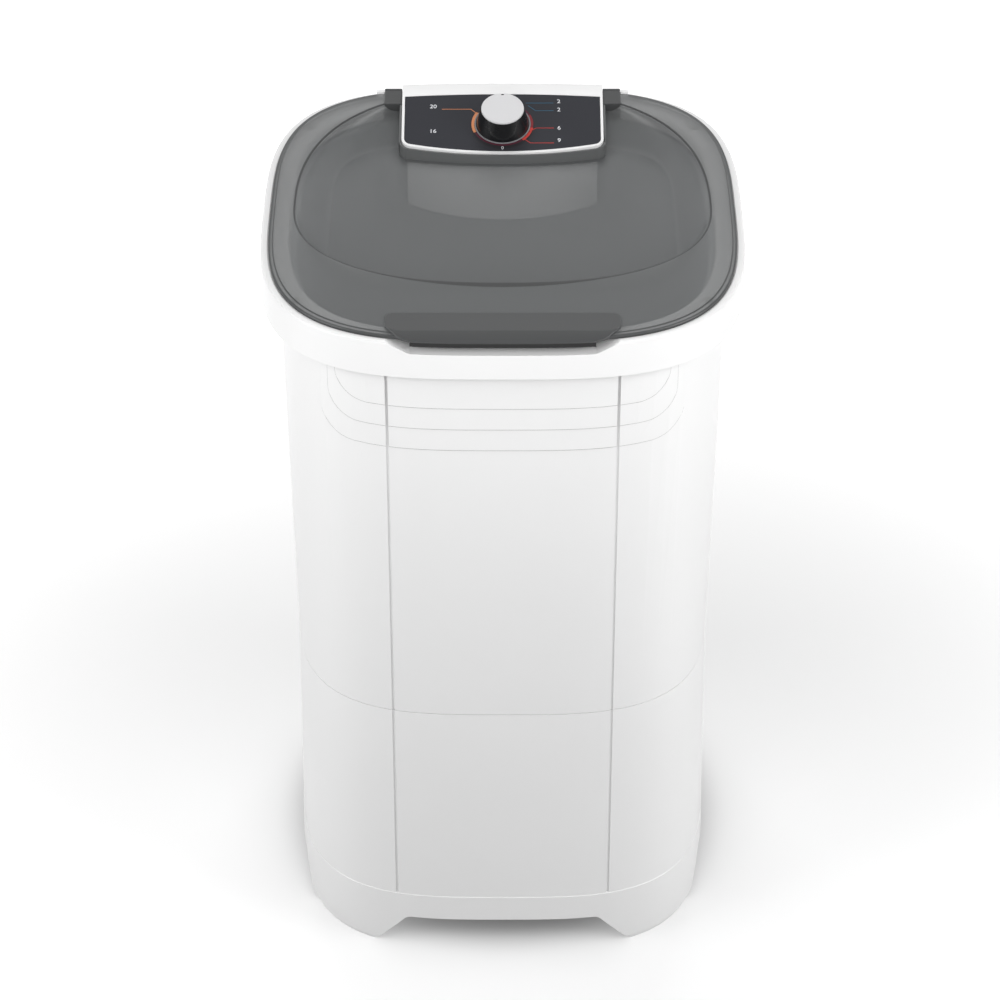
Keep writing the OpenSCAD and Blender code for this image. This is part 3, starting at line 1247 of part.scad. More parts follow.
loom_r = 3.5;
loom_x = -60;
loom_y = (reach(tub_mouth_half_w + tub_wall, loom_x) + reach(top_half_w - cabinet_wall, loom_x)) / 2;
module loom_hole(z, h) {
    translate([loom_x, loom_y, z]) cylinder(r = loom_r + 1.5, h = h);
}
timer_side = [-timer_body_size.x / 2 - 0.2, console_front_y + knob_v * cos(console_tilt) + 6,
    console_front_z + knob_v * sin(console_tilt) - 24];
loom_route = [
    timer_side, timer_side + [-10, 2, 0], timer_side + [-20, 10, 0], [loom_x, loom_y - 34, tub_top_z + 7.5],
    [loom_x, loom_y - 8, tub_top_z + 8], [loom_x, loom_y - 1, tub_top_z + 2],
    [loom_x, loom_y, tub_top_z - 8], [loom_x, loom_y - 1, tub_top_z - 60],
    [loom_x, loom_y - 5, tub_top_z - 220], [loom_x, loom_y - 12, tub_top_z - 400],
    [loom_x, loom_y - 20, seam_z + 20], [loom_x + 4, loom_y - 26, shell_top_z + 20],
    [loom_x + 14, motor_offset + motor_r * 0.9, shell_top_z - 8],
    [loom_x + 22, motor_offset + motor_r * 0.85, shell_top_z - 20]];
function loom_ring(k) =
    let (last = len(loom_route) - 1, d = unit(loom_route[min(k + 1, last)] - loom_route[max(k - 1, 0)]),
        u = unit(cross(d, [1, 0.2, 0.1])), v = cross(d, u))
    [for (i = [0 : 7]) loom_route[k] + loom_r * (cos(45 * i) * u + sin(45 * i) * v)];
module wiring_loom() color([0.15, 0.15, 0.17]) {
    rows = len(loom_route);
    points = [for (k = [0 : rows - 1]) each loom_ring(k)];
    faces = [for (k = [0 : rows - 2]) for (i = [0 : 7]) let (j = (i + 1) % 8)
        each [[8 * k + i, 8 * k + 8 + j, 8 * k + 8 + i], [8 * k + i, 8 * k + j, 8 * k + 8 + j]]];
    polyhedron(points, [each faces, [for (i = [0 : 7]) 7 - i], [for (i = [0 : 7]) 8 * (rows - 1) + i]],
        convexity = 6);
}

// The lint filter on the front wall of the tub

filter_foot_z = tub_floor_z + filter_lift_z;
tub_lean = atan((tub_mouth_half_w - tub_foot_half_w) / (tub_top_z - tub_floor_z - tub_curve_h));
guide_wall = 2.5;
guide_back = 1.6;
// Draws its children on the tub's front wall: Y into the tub, Z up along the wall
module on_tub_front() {
    translate([0, -tub_in(filter_foot_z) - plan_deeper, filter_foot_z]) rotate([tub_lean, 0, 0]) children();
}
module filter_guide() color(white) on_tub_front() {
    w = filter_size.x / 2 + fit_gap + guide_wall;
    d = filter_size.z + 2 * fit_gap + 2 * guide_wall;
    difference() {
        translate([-w, guide_back, -guide_wall - fit_gap]) cube([2 * w, d, filter_size.y - 10]);
        translate([-w + guide_wall, guide_back + guide_wall, -fit_gap])
            cube([2 * (w - guide_wall), d - 2 * guide_wall, filter_size.y]);
        translate([-w + guide_wall + 7, guide_back - past, 6])
            cube([2 * (w - guide_wall - 7), d + 2 * past, filter_size.y]);
    }
}
frame_bar = 9;
module filter_frame() color([0.55, 0.7, 0.85]) on_tub_front()
    translate([-filter_size.x / 2, guide_back + guide_wall + fit_gap, 0]) {
        difference() {
            cube([filter_size.x, filter_size.z, filter_size.y]);
            translate([frame_bar, -past, frame_bar]) cube([filter_size.x - 2 * frame_bar,
                filter_size.z + 2 * past, filter_size.y - 2 * frame_bar]);
            translate([filter_size.x / 2 - 18, -past, filter_size.y - 6])
                cube([36, filter_size.z + 2 * past, 3]);
        }
        translate([filter_size.x / 2 - 2, 1, frame_bar - past])
            cube([4, filter_size.z - 5, filter_size.y - 2 * frame_bar + 2 * past]);
    }
module filter_net() color([0.85, 0.9, 0.95]) on_tub_front()
    translate([-filter_size.x / 2 + frame_bar + 0.05, guide_back + guide_wall + fit_gap + filter_size.z - 3.6,
        frame_bar + 0.05])
        cube([filter_size.x - 2 * frame_bar - 0.1, 0.8, filter_size.y - 2 * frame_bar - 0.1]);

upper_cabinet();
lower_cabinet();
foot_pads();
cabinet_screws();
top_rim();
wash_tub();
console_housing();
control_panel();
dial_ring();
timer_body();
timer_screws();
hinge_pins();
bearing_housing();
shaft_bushes();
shaft_seal();
bearing_screws();
drive_belt();
motor_bracket();
motor_mounts();
motor_bolts();
motor_shell();
motor_top_cover();
motor_foot_cover();
motor_tie_bolts();
capacitor();
capacitor_nut();
drain_strainer();
drain_elbow();
drain_hose();
hose_clamps();
drain_spout();
cord_gland();
wiring_loom();
filter_guide();
agitator();
agitator_cap();
agitator_bolt();
drive_shaft();
driven_pulley();
pulley_nut();
motor_shaft();
motor_pulley();
motor_fan();
knob_skirt();
knob_cap();
timer_shaft();
lid();
lid_buffers();
filter_frame();
filter_net();
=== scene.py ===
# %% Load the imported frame
import json
import math

import bmesh
import bpy
from bmesh.types import BMEdge, BMFace, BMVert
from mathutils import Matrix, Vector

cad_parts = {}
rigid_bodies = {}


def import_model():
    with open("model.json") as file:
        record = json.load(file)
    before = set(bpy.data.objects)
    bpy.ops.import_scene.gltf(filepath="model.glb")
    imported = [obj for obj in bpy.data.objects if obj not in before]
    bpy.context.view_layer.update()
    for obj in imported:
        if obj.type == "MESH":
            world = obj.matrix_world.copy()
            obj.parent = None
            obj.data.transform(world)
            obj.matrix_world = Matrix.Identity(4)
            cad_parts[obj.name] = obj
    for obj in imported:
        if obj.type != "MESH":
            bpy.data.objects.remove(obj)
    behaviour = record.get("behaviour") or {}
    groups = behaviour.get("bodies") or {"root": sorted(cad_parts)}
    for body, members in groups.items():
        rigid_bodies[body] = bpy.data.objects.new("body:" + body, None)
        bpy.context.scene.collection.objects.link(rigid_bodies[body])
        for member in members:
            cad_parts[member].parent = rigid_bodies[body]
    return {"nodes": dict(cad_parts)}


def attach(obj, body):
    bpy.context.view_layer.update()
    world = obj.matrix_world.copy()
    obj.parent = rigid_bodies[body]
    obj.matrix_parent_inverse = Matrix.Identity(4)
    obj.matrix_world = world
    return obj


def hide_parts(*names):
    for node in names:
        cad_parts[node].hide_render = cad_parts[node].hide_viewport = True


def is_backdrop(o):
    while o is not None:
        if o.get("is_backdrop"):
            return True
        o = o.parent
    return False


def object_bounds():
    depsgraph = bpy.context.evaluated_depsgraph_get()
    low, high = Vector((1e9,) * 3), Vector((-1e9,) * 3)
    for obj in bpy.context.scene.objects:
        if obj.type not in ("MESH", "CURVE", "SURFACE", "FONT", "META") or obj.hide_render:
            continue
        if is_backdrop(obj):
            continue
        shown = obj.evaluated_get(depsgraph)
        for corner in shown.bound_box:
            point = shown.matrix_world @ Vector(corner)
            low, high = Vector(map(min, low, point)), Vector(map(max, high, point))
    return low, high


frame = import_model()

nodes = frame["nodes"]
size_at_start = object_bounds()
mm = 0.001
print("nodes:", len(nodes), "box:", [round(v, 4) for corner in size_at_start for v in corner])

# %% [markdown]
# ## Plastics that look moulded
# Nearly everything a person sees on this washing machine is injection moulded plastic. A real moulding is
# never one flat colour: the tone drifts a little over a hand's width, the skin has a fine grain from the
# polished or etched mould, and wiping leaves faint hairlines. These effects could be painted in image
# textures, but every piece would need its own flat map. Small node groups on Object coordinates do it at
# true scale on any shape, so each effect is built once here, and each material places it with its own
# numbers.

# %% Node helpers
def new_group(name, inputs, output):
    """A shader node group with float inputs {name: default} and one named float output, and its two ends."""
    group = bpy.data.node_groups.new(name, "ShaderNodeTree")
    for label, value in inputs.items():
        socket = group.interface.new_socket(name=label, in_out="INPUT", socket_type="NodeSocketFloat")
        socket.default_value = value
    group.interface.new_socket(name=output, in_out="OUTPUT", socket_type="NodeSocketFloat")
    return group, group.nodes.new("NodeGroupInput").outputs, group.nodes.new("NodeGroupOutput").inputs


def add(tree, kind, links=None, values=None, **settings):
    """Adds a node: settings are its properties, values its plain sockets, links its fed sockets."""
    made = tree.nodes.new(kind)
    for key, value in settings.items():
        setattr(made, key, value)
    for key, value in (values or {}).items():
        made.inputs[key].default_value = value
    for key, source in (links or {}).items():
        tree.links.new(source, made.inputs[key])
    return made


def maths(tree, operation, a, b=0.0):
    """The result of a Math node on two numbers or sockets."""
    made = add(tree, "ShaderNodeMath", operation=operation)
    for i, value in enumerate((a, b)):
        if isinstance(value, (int, float)):
            made.inputs[i].default_value = value
        else:
            tree.links.new(value, made.inputs[i])
    return made.outputs[0]


def tinted(tree, colour, shade):
    """A colour multiplied by a shade that changes over the surface."""
    made = add(tree, "ShaderNodeMix", data_type="RGBA", blend_type="MULTIPLY")
    made.inputs[0].default_value = 1.0
    made.inputs[6].default_value = (*colour, 1.0)
    tree.links.new(shade, made.inputs[7])
    return made.outputs[2]


# %% Tone drift, a slow change of shade
drift, g_in, g_out = new_group("tone_drift", {"Scale": 6.0, "Amount": 0.02}, "Shade")
here = add(drift, "ShaderNodeTexCoord").outputs["Object"]
cloud = add(drift, "ShaderNodeTexNoise", {"Vector": here, "Scale": g_in["Scale"]}, {"Detail": 3.0})
swing = maths(drift, "MULTIPLY", maths(drift, "SUBTRACT", cloud.outputs[0], 0.5), g_in["Amount"])
drift.links.new(maths(drift, "ADD", swing, 1.0), g_out["Shade"])

# %% Mould grain, the height of an etched or polished skin
grain, g_in, g_out = new_group("mould_grain", {"Scale": 900.0, "Ripple": 0.3}, "Height")
here = add(grain, "ShaderNodeTexCoord").outputs["Object"]
fine = add(grain, "ShaderNodeTexNoise", {"Vector": here, "Scale": g_in["Scale"]}, {"Detail": 2.0})
slow = add(grain, "ShaderNodeTexNoise", {"Vector": here}, {"Scale": 14.0, "Detail": 1.0})
rippled = maths(grain, "MULTIPLY", slow.outputs[0], g_in["Ripple"])
grain.links.new(maths(grain, "ADD", fine.outputs[0], rippled), g_out["Height"])

# %% Hairlines, the faint marks of wiping, as a mask
hairlines, g_in, g_out = new_group("hairlines", {"Scale": 30.0, "Share": 0.5}, "Mask")
here = add(hairlines, "ShaderNodeTexCoord").outputs["Object"]
lean = add(hairlines, "ShaderNodeMapping", {"Vector": here},
           {"Rotation": (0.5, 0.3, 0.7), "Scale": (1.0, 22.0, 22.0)}).outputs[0]
streak = add(hairlines, "ShaderNodeTexNoise", {"Vector": lean, "Scale": g_in["Scale"]}, {"Detail": 4.0})
patch = add(hairlines, "ShaderNodeTexNoise", {"Vector": here}, {"Scale": 9.0, "Detail": 2.0})
lines = maths(hairlines, "GREATER_THAN", streak.outputs[0], 0.62)
area = maths(hairlines, "GREATER_THAN", patch.outputs[0], maths(hairlines, "SUBTRACT", 1.0, g_in["Share"]))
hairlines.links.new(maths(hairlines, "MULTIPLY", lines, area), g_out["Mask"])
print("groups:", [g.name for g in bpy.data.node_groups])


# %% A plastic from the three effects
def group_in(tree, group, **values):
    """Places a node group in a material with its own numbers."""
    made = add(tree, "ShaderNodeGroup", node_tree=group)
    for key, value in values.items():
        made.inputs[key].default_value = value
    return made.outputs[0]


def plastic(name, colour, rough, scale=900.0, height=0.02, drift_amount=0.03, wiped=0.05, **sockets):
    """A moulded plastic: grain scale, grain height in mm, then plain Principled sockets by name."""
    material = bpy.data.materials.new(name)
    material.use_nodes = True
    tree = material.node_tree
    shader = tree.nodes["Principled BSDF"]
    shade = group_in(tree, drift, Scale=5.0, Amount=drift_amount)
    marks = group_in(tree, hairlines, Scale=30.0, Share=0.45)
    tree.links.new(tinted(tree, colour, shade), shader.inputs["Base Color"])
    wiped_rough = maths(tree, "ADD", rough, maths(tree, "MULTIPLY", marks, wiped))
    tree.links.new(wiped_rough, shader.inputs["Roughness"])
    skin = add(tree, "ShaderNodeBump", {"Height": group_in(tree, grain, Scale=scale, Ripple=0.3)},
               {"Strength": 1.0, "Distance": height * mm})
    tree.links.new(skin.outputs[0], shader.inputs["Normal"])
    for key, value in sockets.items():
        shader.inputs[key.replace("_", " ")].default_value = value
    material.diffuse_color = (*colour, 1.0)
    return material


white_plastic = plastic("white_plastic", (0.80, 0.80, 0.80), 0.34, height=0.015, Coat_Weight=0.35,
                        Coat_Roughness=0.12)
tub_white = plastic("tub_white", (0.74, 0.75, 0.76), 0.42, height=0.02)
# The tub is the same white plastic as the agitator; its darker grey is painted shade for its deep inside.
tub_painted_shade = plastic("tub_painted_shade", (0.46, 0.47, 0.48), 0.42, height=0.02)
ring_silver = plastic("ring_silver", (0.23, 0.23, 0.24), 0.34, scale=1400.0)
cap_white = plastic("cap_white", (0.62, 0.62, 0.63), 0.36, scale=1400.0)
slate_film = plastic("slate_film", (0.026, 0.027, 0.033), 0.42, scale=2200.0, height=0.012, drift_amount=0.08,
                    Specular_IOR_Level=0.3)
gloss_black = plastic("gloss_black", (0.006, 0.006, 0.007), 0.24, height=0.006, Coat_Weight=0.25,
                      Coat_Roughness=0.08)
timer_cream = plastic("timer_cream", (0.70, 0.67, 0.56), 0.5)
dark_nylon = plastic("dark_nylon", (0.028, 0.028, 0.030), 0.5, height=0.03)
hose_skin = plastic("hose_skin", (0.24, 0.25, 0.27), 0.48, height=0.03)
filter_plastic = plastic("filter_plastic", (0.10, 0.26, 0.52), 0.36)
sleeve_skin = plastic("sleeve_skin", (0.05, 0.05, 0.055), 0.55, scale=1600.0, height=0.05)


# %% Smoked clear plastic
def smoked(name, colour, cover, lamp_cover):
    """A tinted see-through plastic: one face hides cover, and holds back lamp_cover of the lamps' light."""
    made = plastic(name, colour, 0.30, height=0.004, drift_amount=0.05, wiped=0.02, Coat_Weight=0.06,
                   Coat_Roughness=0.10, Specular_IOR_Level=0.35)
    tree = made.node_tree
    shadow_ray = add(tree, "ShaderNodeLightPath").outputs["Is Shadow Ray"]
    let_by = maths(tree, "MULTIPLY", shadow_ray, cover - lamp_cover)
    tree.links.new(maths(tree, "SUBTRACT", cover, let_by), tree.nodes["Principled BSDF"].inputs["Alpha"])
    return made


smoke = smoked("smoke", (0.128, 0.133, 0.134), 0.75, 0.20)
smoke_under = smoked("smoke_under", (0.124, 0.129, 0.130), 0.06, 0.0)
smoke_thick = smoked("smoke_thick", (0.060, 0.062, 0.063), 0.96, 0.96)
# Darker than the thick parts: a painted shade along the dish's crease.
smoke_crease_shade = smoked("smoke_crease_shade", (0.040, 0.041, 0.042), 0.96, 0.96)
smoke_pad = smoked("smoke_pad", (0.075, 0.077, 0.078), 0.96, 0.96)
# Lighter than the other thick parts: painted light, since the collar faces forward and gets little light from
# above.
smoke_collar_lightened = smoked("smoke_collar_lightened", (0.130, 0.134, 0.135), 0.96, 0.96)
# Near black: a painted shadow in the gap under the handle's lip.
smoke_lip_shadow = smoked("smoke_lip_shadow", (0.004, 0.0041, 0.0043), 1.0, 1.0)

# %% [markdown]
# ## Metals, rubber and net
# Under the tub sit a bearing, a motor and a belt drive. Turned and rolled steel shows fine streaks,
# castings have a coarse skin, rubber is dull and slightly mottled, and the lint net is a weave with holes.
# The same helpers serve: a stretched noise makes the streaks, and two bands of waves make the weave, whose
# gaps go to Alpha.

# %% Streaks of rolling or turning
streaks, g_in, g_out = new_group("streaks", {"Scale": 40.0, "Amount": 0.2}, "Shade")
here = add(streaks, "ShaderNodeTexCoord").outputs["Object"]
drawn = add(streaks, "ShaderNodeMapping", {"Vector": here}, {"Scale": (1.0, 1.0, 30.0)}).outputs[0]
lines = add(streaks, "ShaderNodeTexNoise", {"Vector": drawn, "Scale": g_in["Scale"]}, {"Detail": 3.0})
swing = maths(streaks, "MULTIPLY", maths(streaks, "SUBTRACT", lines.outputs[0], 0.5), g_in["Amount"])
streaks.links.new(maths(streaks, "ADD", swing, 1.0), g_out["Shade"])


# %% Metals and rubbers
def metal(name, colour, rough, amount=0.25, scale=600.0, height=0.03):
    """A metal whose colour and roughness follow its streaks, with a fine skin."""
    material = bpy.data.materials.new(name)
    material.use_nodes = True
    tree = material.node_tree
    shader = tree.nodes["Principled BSDF"]
    shade = group_in(tree, streaks, Scale=40.0, Amount=amount)
    tree.links.new(tinted(tree, colour, shade), shader.inputs["Base Color"])
    tree.links.new(maths(tree, "MULTIPLY", shade, rough), shader.inputs["Roughness"])
    skin = add(tree, "ShaderNodeBump", {"Height": group_in(tree, grain, Scale=scale, Ripple=0.2)},
               {"Strength": 1.0, "Distance": height * mm})
    tree.links.new(skin.outputs[0], shader.inputs["Normal"])
    shader.inputs["Metallic"].default_value = 1.0
    material.diffuse_color = (*colour, 1.0)
    return material


bright_steel = metal("bright_steel", (0.60, 0.60, 0.61), 0.30)
rolled_steel = metal("rolled_steel", (0.46, 0.47, 0.48), 0.42, height=0.05)
cast_alloy = metal("cast_alloy", (0.50, 0.50, 0.51), 0.52, amount=0.12, scale=350.0, height=0.12)
motor_paint = plastic("motor_paint", (0.035, 0.038, 0.042), 0.45, scale=420.0, height=0.08)
sinter_bronze = metal("sinter_bronze", (0.48, 0.30, 0.13), 0.46, scale=900.0)
rubber = plastic("rubber", (0.020, 0.020, 0.021), 0.72, scale=700.0, height=0.06, drift_amount=0.2,
                 wiped=0.12)
pale_rubber = plastic("pale_rubber", (0.56, 0.56, 0.55), 0.7, scale=700.0, height=0.06, drift_amount=0.08)

# %% A woven net with holes
net = bpy.data.materials.new("lint_net")
net.use_nodes = True
tree = net.node_tree
here = add(tree, "ShaderNodeTexCoord").outputs["Object"]
bands = []
for way in ("X", "Z"):
    wave = add(tree, "ShaderNodeTexWave", {"Vector": here}, {"Scale": 240.0}, bands_direction=way)
    bands.append(wave.outputs["Fac"])
threads = maths(tree, "GREATER_THAN", maths(tree, "MAXIMUM", *bands), 0.55)
shader = tree.nodes["Principled BSDF"]
tree.links.new(maths(tree, "ADD", 0.25, maths(tree, "MULTIPLY", threads, 0.75)), shader.inputs["Alpha"])
tree.links.new(tinted(tree, (0.80, 0.82, 0.80), group_in(tree, drift, Scale=30.0, Amount=0.2)),
               shader.inputs["Base Color"])
shader.inputs["Roughness"].default_value = 0.8
print("materials:", len(bpy.data.materials))


# %% [markdown]
# ## Dressing the CAD pieces
# A CAD solid has true sizes, and edges as sharp as a knife. Every real edge is a little round, and that
# thin round is what catches the light. A piece could be modelled again from nothing, but where its shape is
# already right a copy is better: its loose triangles are joined, its flat faces made whole, its edges
# marked by their angle, and a Bevel modifier rolls them over. Weighted normals keep the broad faces flat
# beside the rolled edges.

# %% Copy a CAD node's mesh and finish it
def merged(name):
    """A bmesh of a CAD node with its loose triangles joined and its flat faces made whole."""
    bm = bmesh.new()
    bm.from_mesh(nodes[name].data)
    bmesh.ops.remove_doubles(bm, verts=bm.verts, dist=0.005 * mm)
    bmesh.ops.dissolve_limit(bm, angle_limit=math.radians(0.04), verts=bm.verts, edges=bm.edges)
    return bm


def finished(bm, name, material, body, stands_for=(), roll=0.4, sharp=28, segments=2):
    """Makes a bmesh an object that rides on a body; roll is the radius of its edges in mm."""
    for face in bm.faces:
        face.smooth = True
    for edge in bm.edges:
        edge.smooth = len(edge.link_faces) == 2 and edge.calc_face_angle(0.0) < math.radians(sharp)
    mesh = bpy.data.meshes.new(name)
    bm.to_mesh(mesh)
    bm.free()
    piece = bpy.data.objects.new(name, mesh)
    bpy.context.scene.collection.objects.link(piece)
    mesh.materials.append(material)
    if roll:
        bevel = piece.modifiers.new("rolled edges", "BEVEL")
        bevel.width, bevel.segments = roll * mm, segments
        bevel.limit_method, bevel.angle_limit = "ANGLE", math.radians(sharp)
        bevel.miter_outer = "MITER_ARC"
        flat = piece.modifiers.new("flat faces", "WEIGHTED_NORMAL")
        flat.keep_sharp = True
    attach(piece, body)
    if stands_for:
        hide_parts(*stands_for)
    return piece


def faces_of(piece):
    """How many faces of a piece take each of its materials."""
    return [sum(f.material_index == i for f in piece.data.polygons) for i in range(len(piece.data.materials))]


def dressed(name, material, body="cabinet", roll=0.4, segments=2):
    """A CAD node's copy with rolled edges stands for the node."""
    return finished(merged(name), name + "_moulded", material, body, (name,), roll, segments=segments)


# %% The console housing, its back edge rolled over
def back_edge(bm, z, y):
    """The edges of a top face's back, at a height and behind a place, in metres."""
    return [e for e in bm.edges if all(abs(v.co.z - z) < 0.1 * mm and v.co.y > y for v in e.verts)
            and any(f.normal.y > 0.9 for f in e.link_faces)]


console_bm = merged("console_housing")
console_top_z = max(v.co.z for v in console_bm.verts)
console_back_y, console_roll = 0.262, 10 * mm  # m
rolled = back_edge(console_bm, console_top_z, console_back_y)
bmesh.ops.bevel(console_bm, geom=rolled, offset=console_roll, offset_type="OFFSET", affect="EDGES",
                segments=6, profile=0.5, material=-1, clamp_overlap=True)
print("console top, mm:", round(console_top_z / mm, 1), "edges rolled:", len(rolled))

# %% The terraces' lower edges, rolled wide, the rolls painted grey as shade
terraces_foot_z, terraces_top_z = 715, 862  # mm
terraces_half_w = 0.2  # m, as the widths below


def terrace_edges(bm, beyond, turned):
    """The terraces' outer edges from a width in m outwards, where the step's normal passes a test."""
    found = []
    for edge in bm.edges:
        x, z = abs(edge.verts[0].co.x), [v.co.z / mm for v in edge.verts]
        near = beyond <= x < terraces_half_w and min(z) > terraces_foot_z and max(z) < terraces_top_z
        if near and len(edge.link_faces) == 2 and edge.calc_face_angle_signed(0.0) > 0.8:
            normals = [face.normal for face in edge.link_faces]
            front, step = sorted(normals, key=lambda n: abs(n.z) + abs(n.x))
            if front.y < -0.5 and abs(front.z) < 0.1 and turned(step):
                found.append(edge)
    return found


cabinet_bm = merged("upper_cabinet")
terrace_rolls = [(0.9, 0.0, lambda n: n.z < -0.3), (0.35, 0.15, lambda n: abs(n.x) > 0.954)]
for reach, beyond, turned in terrace_rolls:
    rolled = terrace_edges(cabinet_bm, beyond, turned)
    bmesh.ops.bevel(cabinet_bm, geom=rolled, offset=reach * mm, offset_type="OFFSET", affect="EDGES",
                    segments=4, profile=0.5, material=1, clamp_overlap=False)
    print("terrace edges:", len(rolled), "rolled by", reach, "mm")
# The rolls take a grey copy of the white plastic: painted shade along the terraces' lower and side edges.
terrace_painted_shade = plastic("terrace_painted_shade", (0.34, 0.34, 0.34), 0.34, height=0.015)

# %% The white body
body_pieces = [finished(cabinet_bm, "upper_cabinet_moulded", white_plastic, "cabinet",
                        ("upper_cabinet",), roll=0.3),
               dressed("lower_cabinet", white_plastic, roll=0.3),
               dressed("top_rim", white_plastic, roll=1.2, segments=3),
               finished(console_bm, "console_housing_moulded", white_plastic, "cabinet",
                        ("console_housing",), roll=0.8, segments=3),
               dressed("wash_tub", tub_painted_shade, roll=0.5)]
body_pieces[0].data.materials.append(terrace_painted_shade)
print("cabinet faces by material:", faces_of(body_pieces[0]))
print("body:", {piece.name: len(piece.data.vertices) for piece in body_pieces})

# %% [markdown]
# ## The smoked lid
# The lid is one clear grey moulding about 3 mm thick: a step round its edge, a broad border, and a dish
# whose floor is a rounded rectangle, all cut away for the console. It could be sculpted from a box with
# Subdivision Surface, but its outlines are true rounded squares that must follow the rim within a
# millimetre. So one circle is extruded ring by ring from the edge inwards, and each new ring is set out on
# its own outline and height. The rolled edge and the step hold more plastic in the line of sight, so their
# rings take the darker material; the crease's rings take a darker one still, a painted shade along the
# crease. A Solidify modifier gives the wall, and a Boolean cuts the notch.

# %% Outlines of the lid
plan_deeper, plan_power = 15.0, 3.35
lid_half_w = 256.6
dish_top = dict(a=228.6, front=163.4, back=262.0, power=2.42)
dish_floor = dict(a=191.7, front=131.0, back=183.0, power=5.0)
dish_lip_z, dish_floor_z = 870.4, 840.0


def set_out(vert, a, front, back, power, z, swell=0.0):
    """Moves a vertex, along its own direction from the middle, onto a rounded-square outline, in mm."""
    angle = math.atan2(vert.co.y, vert.co.x)
    c, s = math.cos(angle), math.sin(angle)
    r = ((abs(c) / a) ** power + (abs(s) / (front if s < 0 else back)) ** power) ** (-1 / power)
    r += swell * max(0.0, -s) ** 6
    vert.co = (r * c, r * s, z)


def edge_outline(inset, z):
    """The outline of the lid's edge, or of a ring inside it."""
    a = lid_half_w - inset
    return dict(a=a, front=a + plan_deeper, back=a + plan_deeper, power=plan_power, z=z)


def dish_outline(share, drop, out=0.0, lift=0.0):
    """An outline of the dish: share of the way to its floor, share of its depth, extra reach and height."""
    mixed = {key: dish_top[key] + (dish_floor[key] - dish_top[key]) * share for key in dish_top}
    for key in ("a", "front", "back"):
        mixed[key] += out
    return dict(mixed, z=dish_lip_z + (dish_floor_z - dish_lip_z) * drop + lift)


def dish_drop(share):
    """Depth of the dish's wall at a share of its width: nearly straight, then a soft turn into the floor."""
    straight = 1.05 * share + 0.15 * share * (1 - share)
    soft = 0.16
    over = max(straight - (1 - soft), 0.0)
    return min(straight, 1 - soft + soft * (1 - math.exp(-over / soft)) / (1 - math.exp(-1.3)))


# %% The lid's upper skin, ring by ring
def only(kind, geometry):
    """The vertices, edges or faces among what a bmesh operator gives."""
    return [g for g in geometry if isinstance(g, kind)]


edge_steps = [(0.3, 864.3, 1), (0, 864.8, 1), (0, 867.0, 1), (0.25, 867.8, 1), (0.9, 868.4, 1),
              (1.6, 868.65, 1), (4.2, 868.7, 0), (4.7, 868.8, 1), (5.1, 869.2, 1), (5.6, 869.5, 1),
              (6.6, 869.65, 0)]
crease_steps = [(12.0, 0.75, 0, 0), (2.4, 1.1, 0, 8), (1.7, 1.05, 2, 8), (0.9, 0.6, 2, 0), (0.3, 0.0, 2, 0)]
wall_steps = [0.0, 0.04, 0.1, 0.2, 0.35, 0.5, 0.62, 0.72, 0.8, 0.86, 0.91, 0.95, 0.98, 1.0]
lid_rings = [(edge_outline(inset, z), dark) for inset, z, dark in edge_steps]
lid_rings += [(dict(dish_outline(0, 0, out, lift), swell=swell), dark)
              for out, lift, dark, swell in crease_steps]
lid_rings += [(dish_outline(share, min(dish_drop(share), 1.0)), 0) for share in wall_steps]
lid_rings += [(dish_outline(1.0, 1.0, -2.0), 0), (dish_outline(1.0, 1.0, -12.0), 0)]
bm = bmesh.new()
bmesh.ops.create_circle(bm, cap_ends=False, radius=100.0, segments=256)
for vert in bm.verts:
    set_out(vert, **lid_rings[0][0])
loop = bm.edges[:]
for outline, dark in lid_rings[1:]:
    grown = bmesh.ops.extrude_edge_only(bm, edges=loop)["geom"]
    fresh = set(only(BMVert, grown))
    for vert in fresh:
        set_out(vert, **outline)
    for face in only(BMFace, grown):
        face.material_index = dark
    loop = [edge for edge in only(BMEdge, grown) if set(edge.verts) <= fresh]
bmesh.ops.contextual_create(bm, geom=loop)
bmesh.ops.recalc_face_normals(bm, faces=bm.faces)
if sum(face.normal.z for face in bm.faces) < 0:
    bmesh.ops.reverse_faces(bm, faces=bm.faces)
print("lid skin:", len(bm.verts), "vertices in", len(lid_rings), "rings")


# %% Tools that finish a mesh with modifiers and keep the result
def as_object(bm, name):
    """A bmesh in mm made an object in metres."""
    bmesh.ops.scale(bm, vec=(mm, mm, mm), verts=bm.verts)
    mesh = bpy.data.meshes.new(name)
    bm.to_mesh(mesh)
    bm.free()
    made = bpy.data.objects.new(name, mesh)
    bpy.context.scene.collection.objects.link(made)
    return made


def applied(made):
    """The bmesh that an object's modifiers give; the object goes."""
    bpy.context.view_layer.update()
    graph = bpy.context.evaluated_depsgraph_get()
    result = bmesh.new()
    result.from_mesh(bpy.data.meshes.new_from_object(made.evaluated_get(graph)))
    bpy.data.objects.remove(made)
    return result


def cut(made, cutter_bm):
    """Adds a Boolean that takes a cutter away from an object, and gives the bmesh of the result."""
    cutter = as_object(cutter_bm, "cutter")
    boolean = made.modifiers.new("cut", "BOOLEAN")
    boolean.operation, boolean.solver, boolean.object = "DIFFERENCE", "EXACT", cutter
    boolean.use_self = True
    result = applied(made)
    bpy.data.objects.remove(cutter)
    return result


# %% The console's outline, as a chain of edges
console_half_w, console_front_y, console_bulge, console_corner_r = 116.0, 147.0, 13.0, 12.0


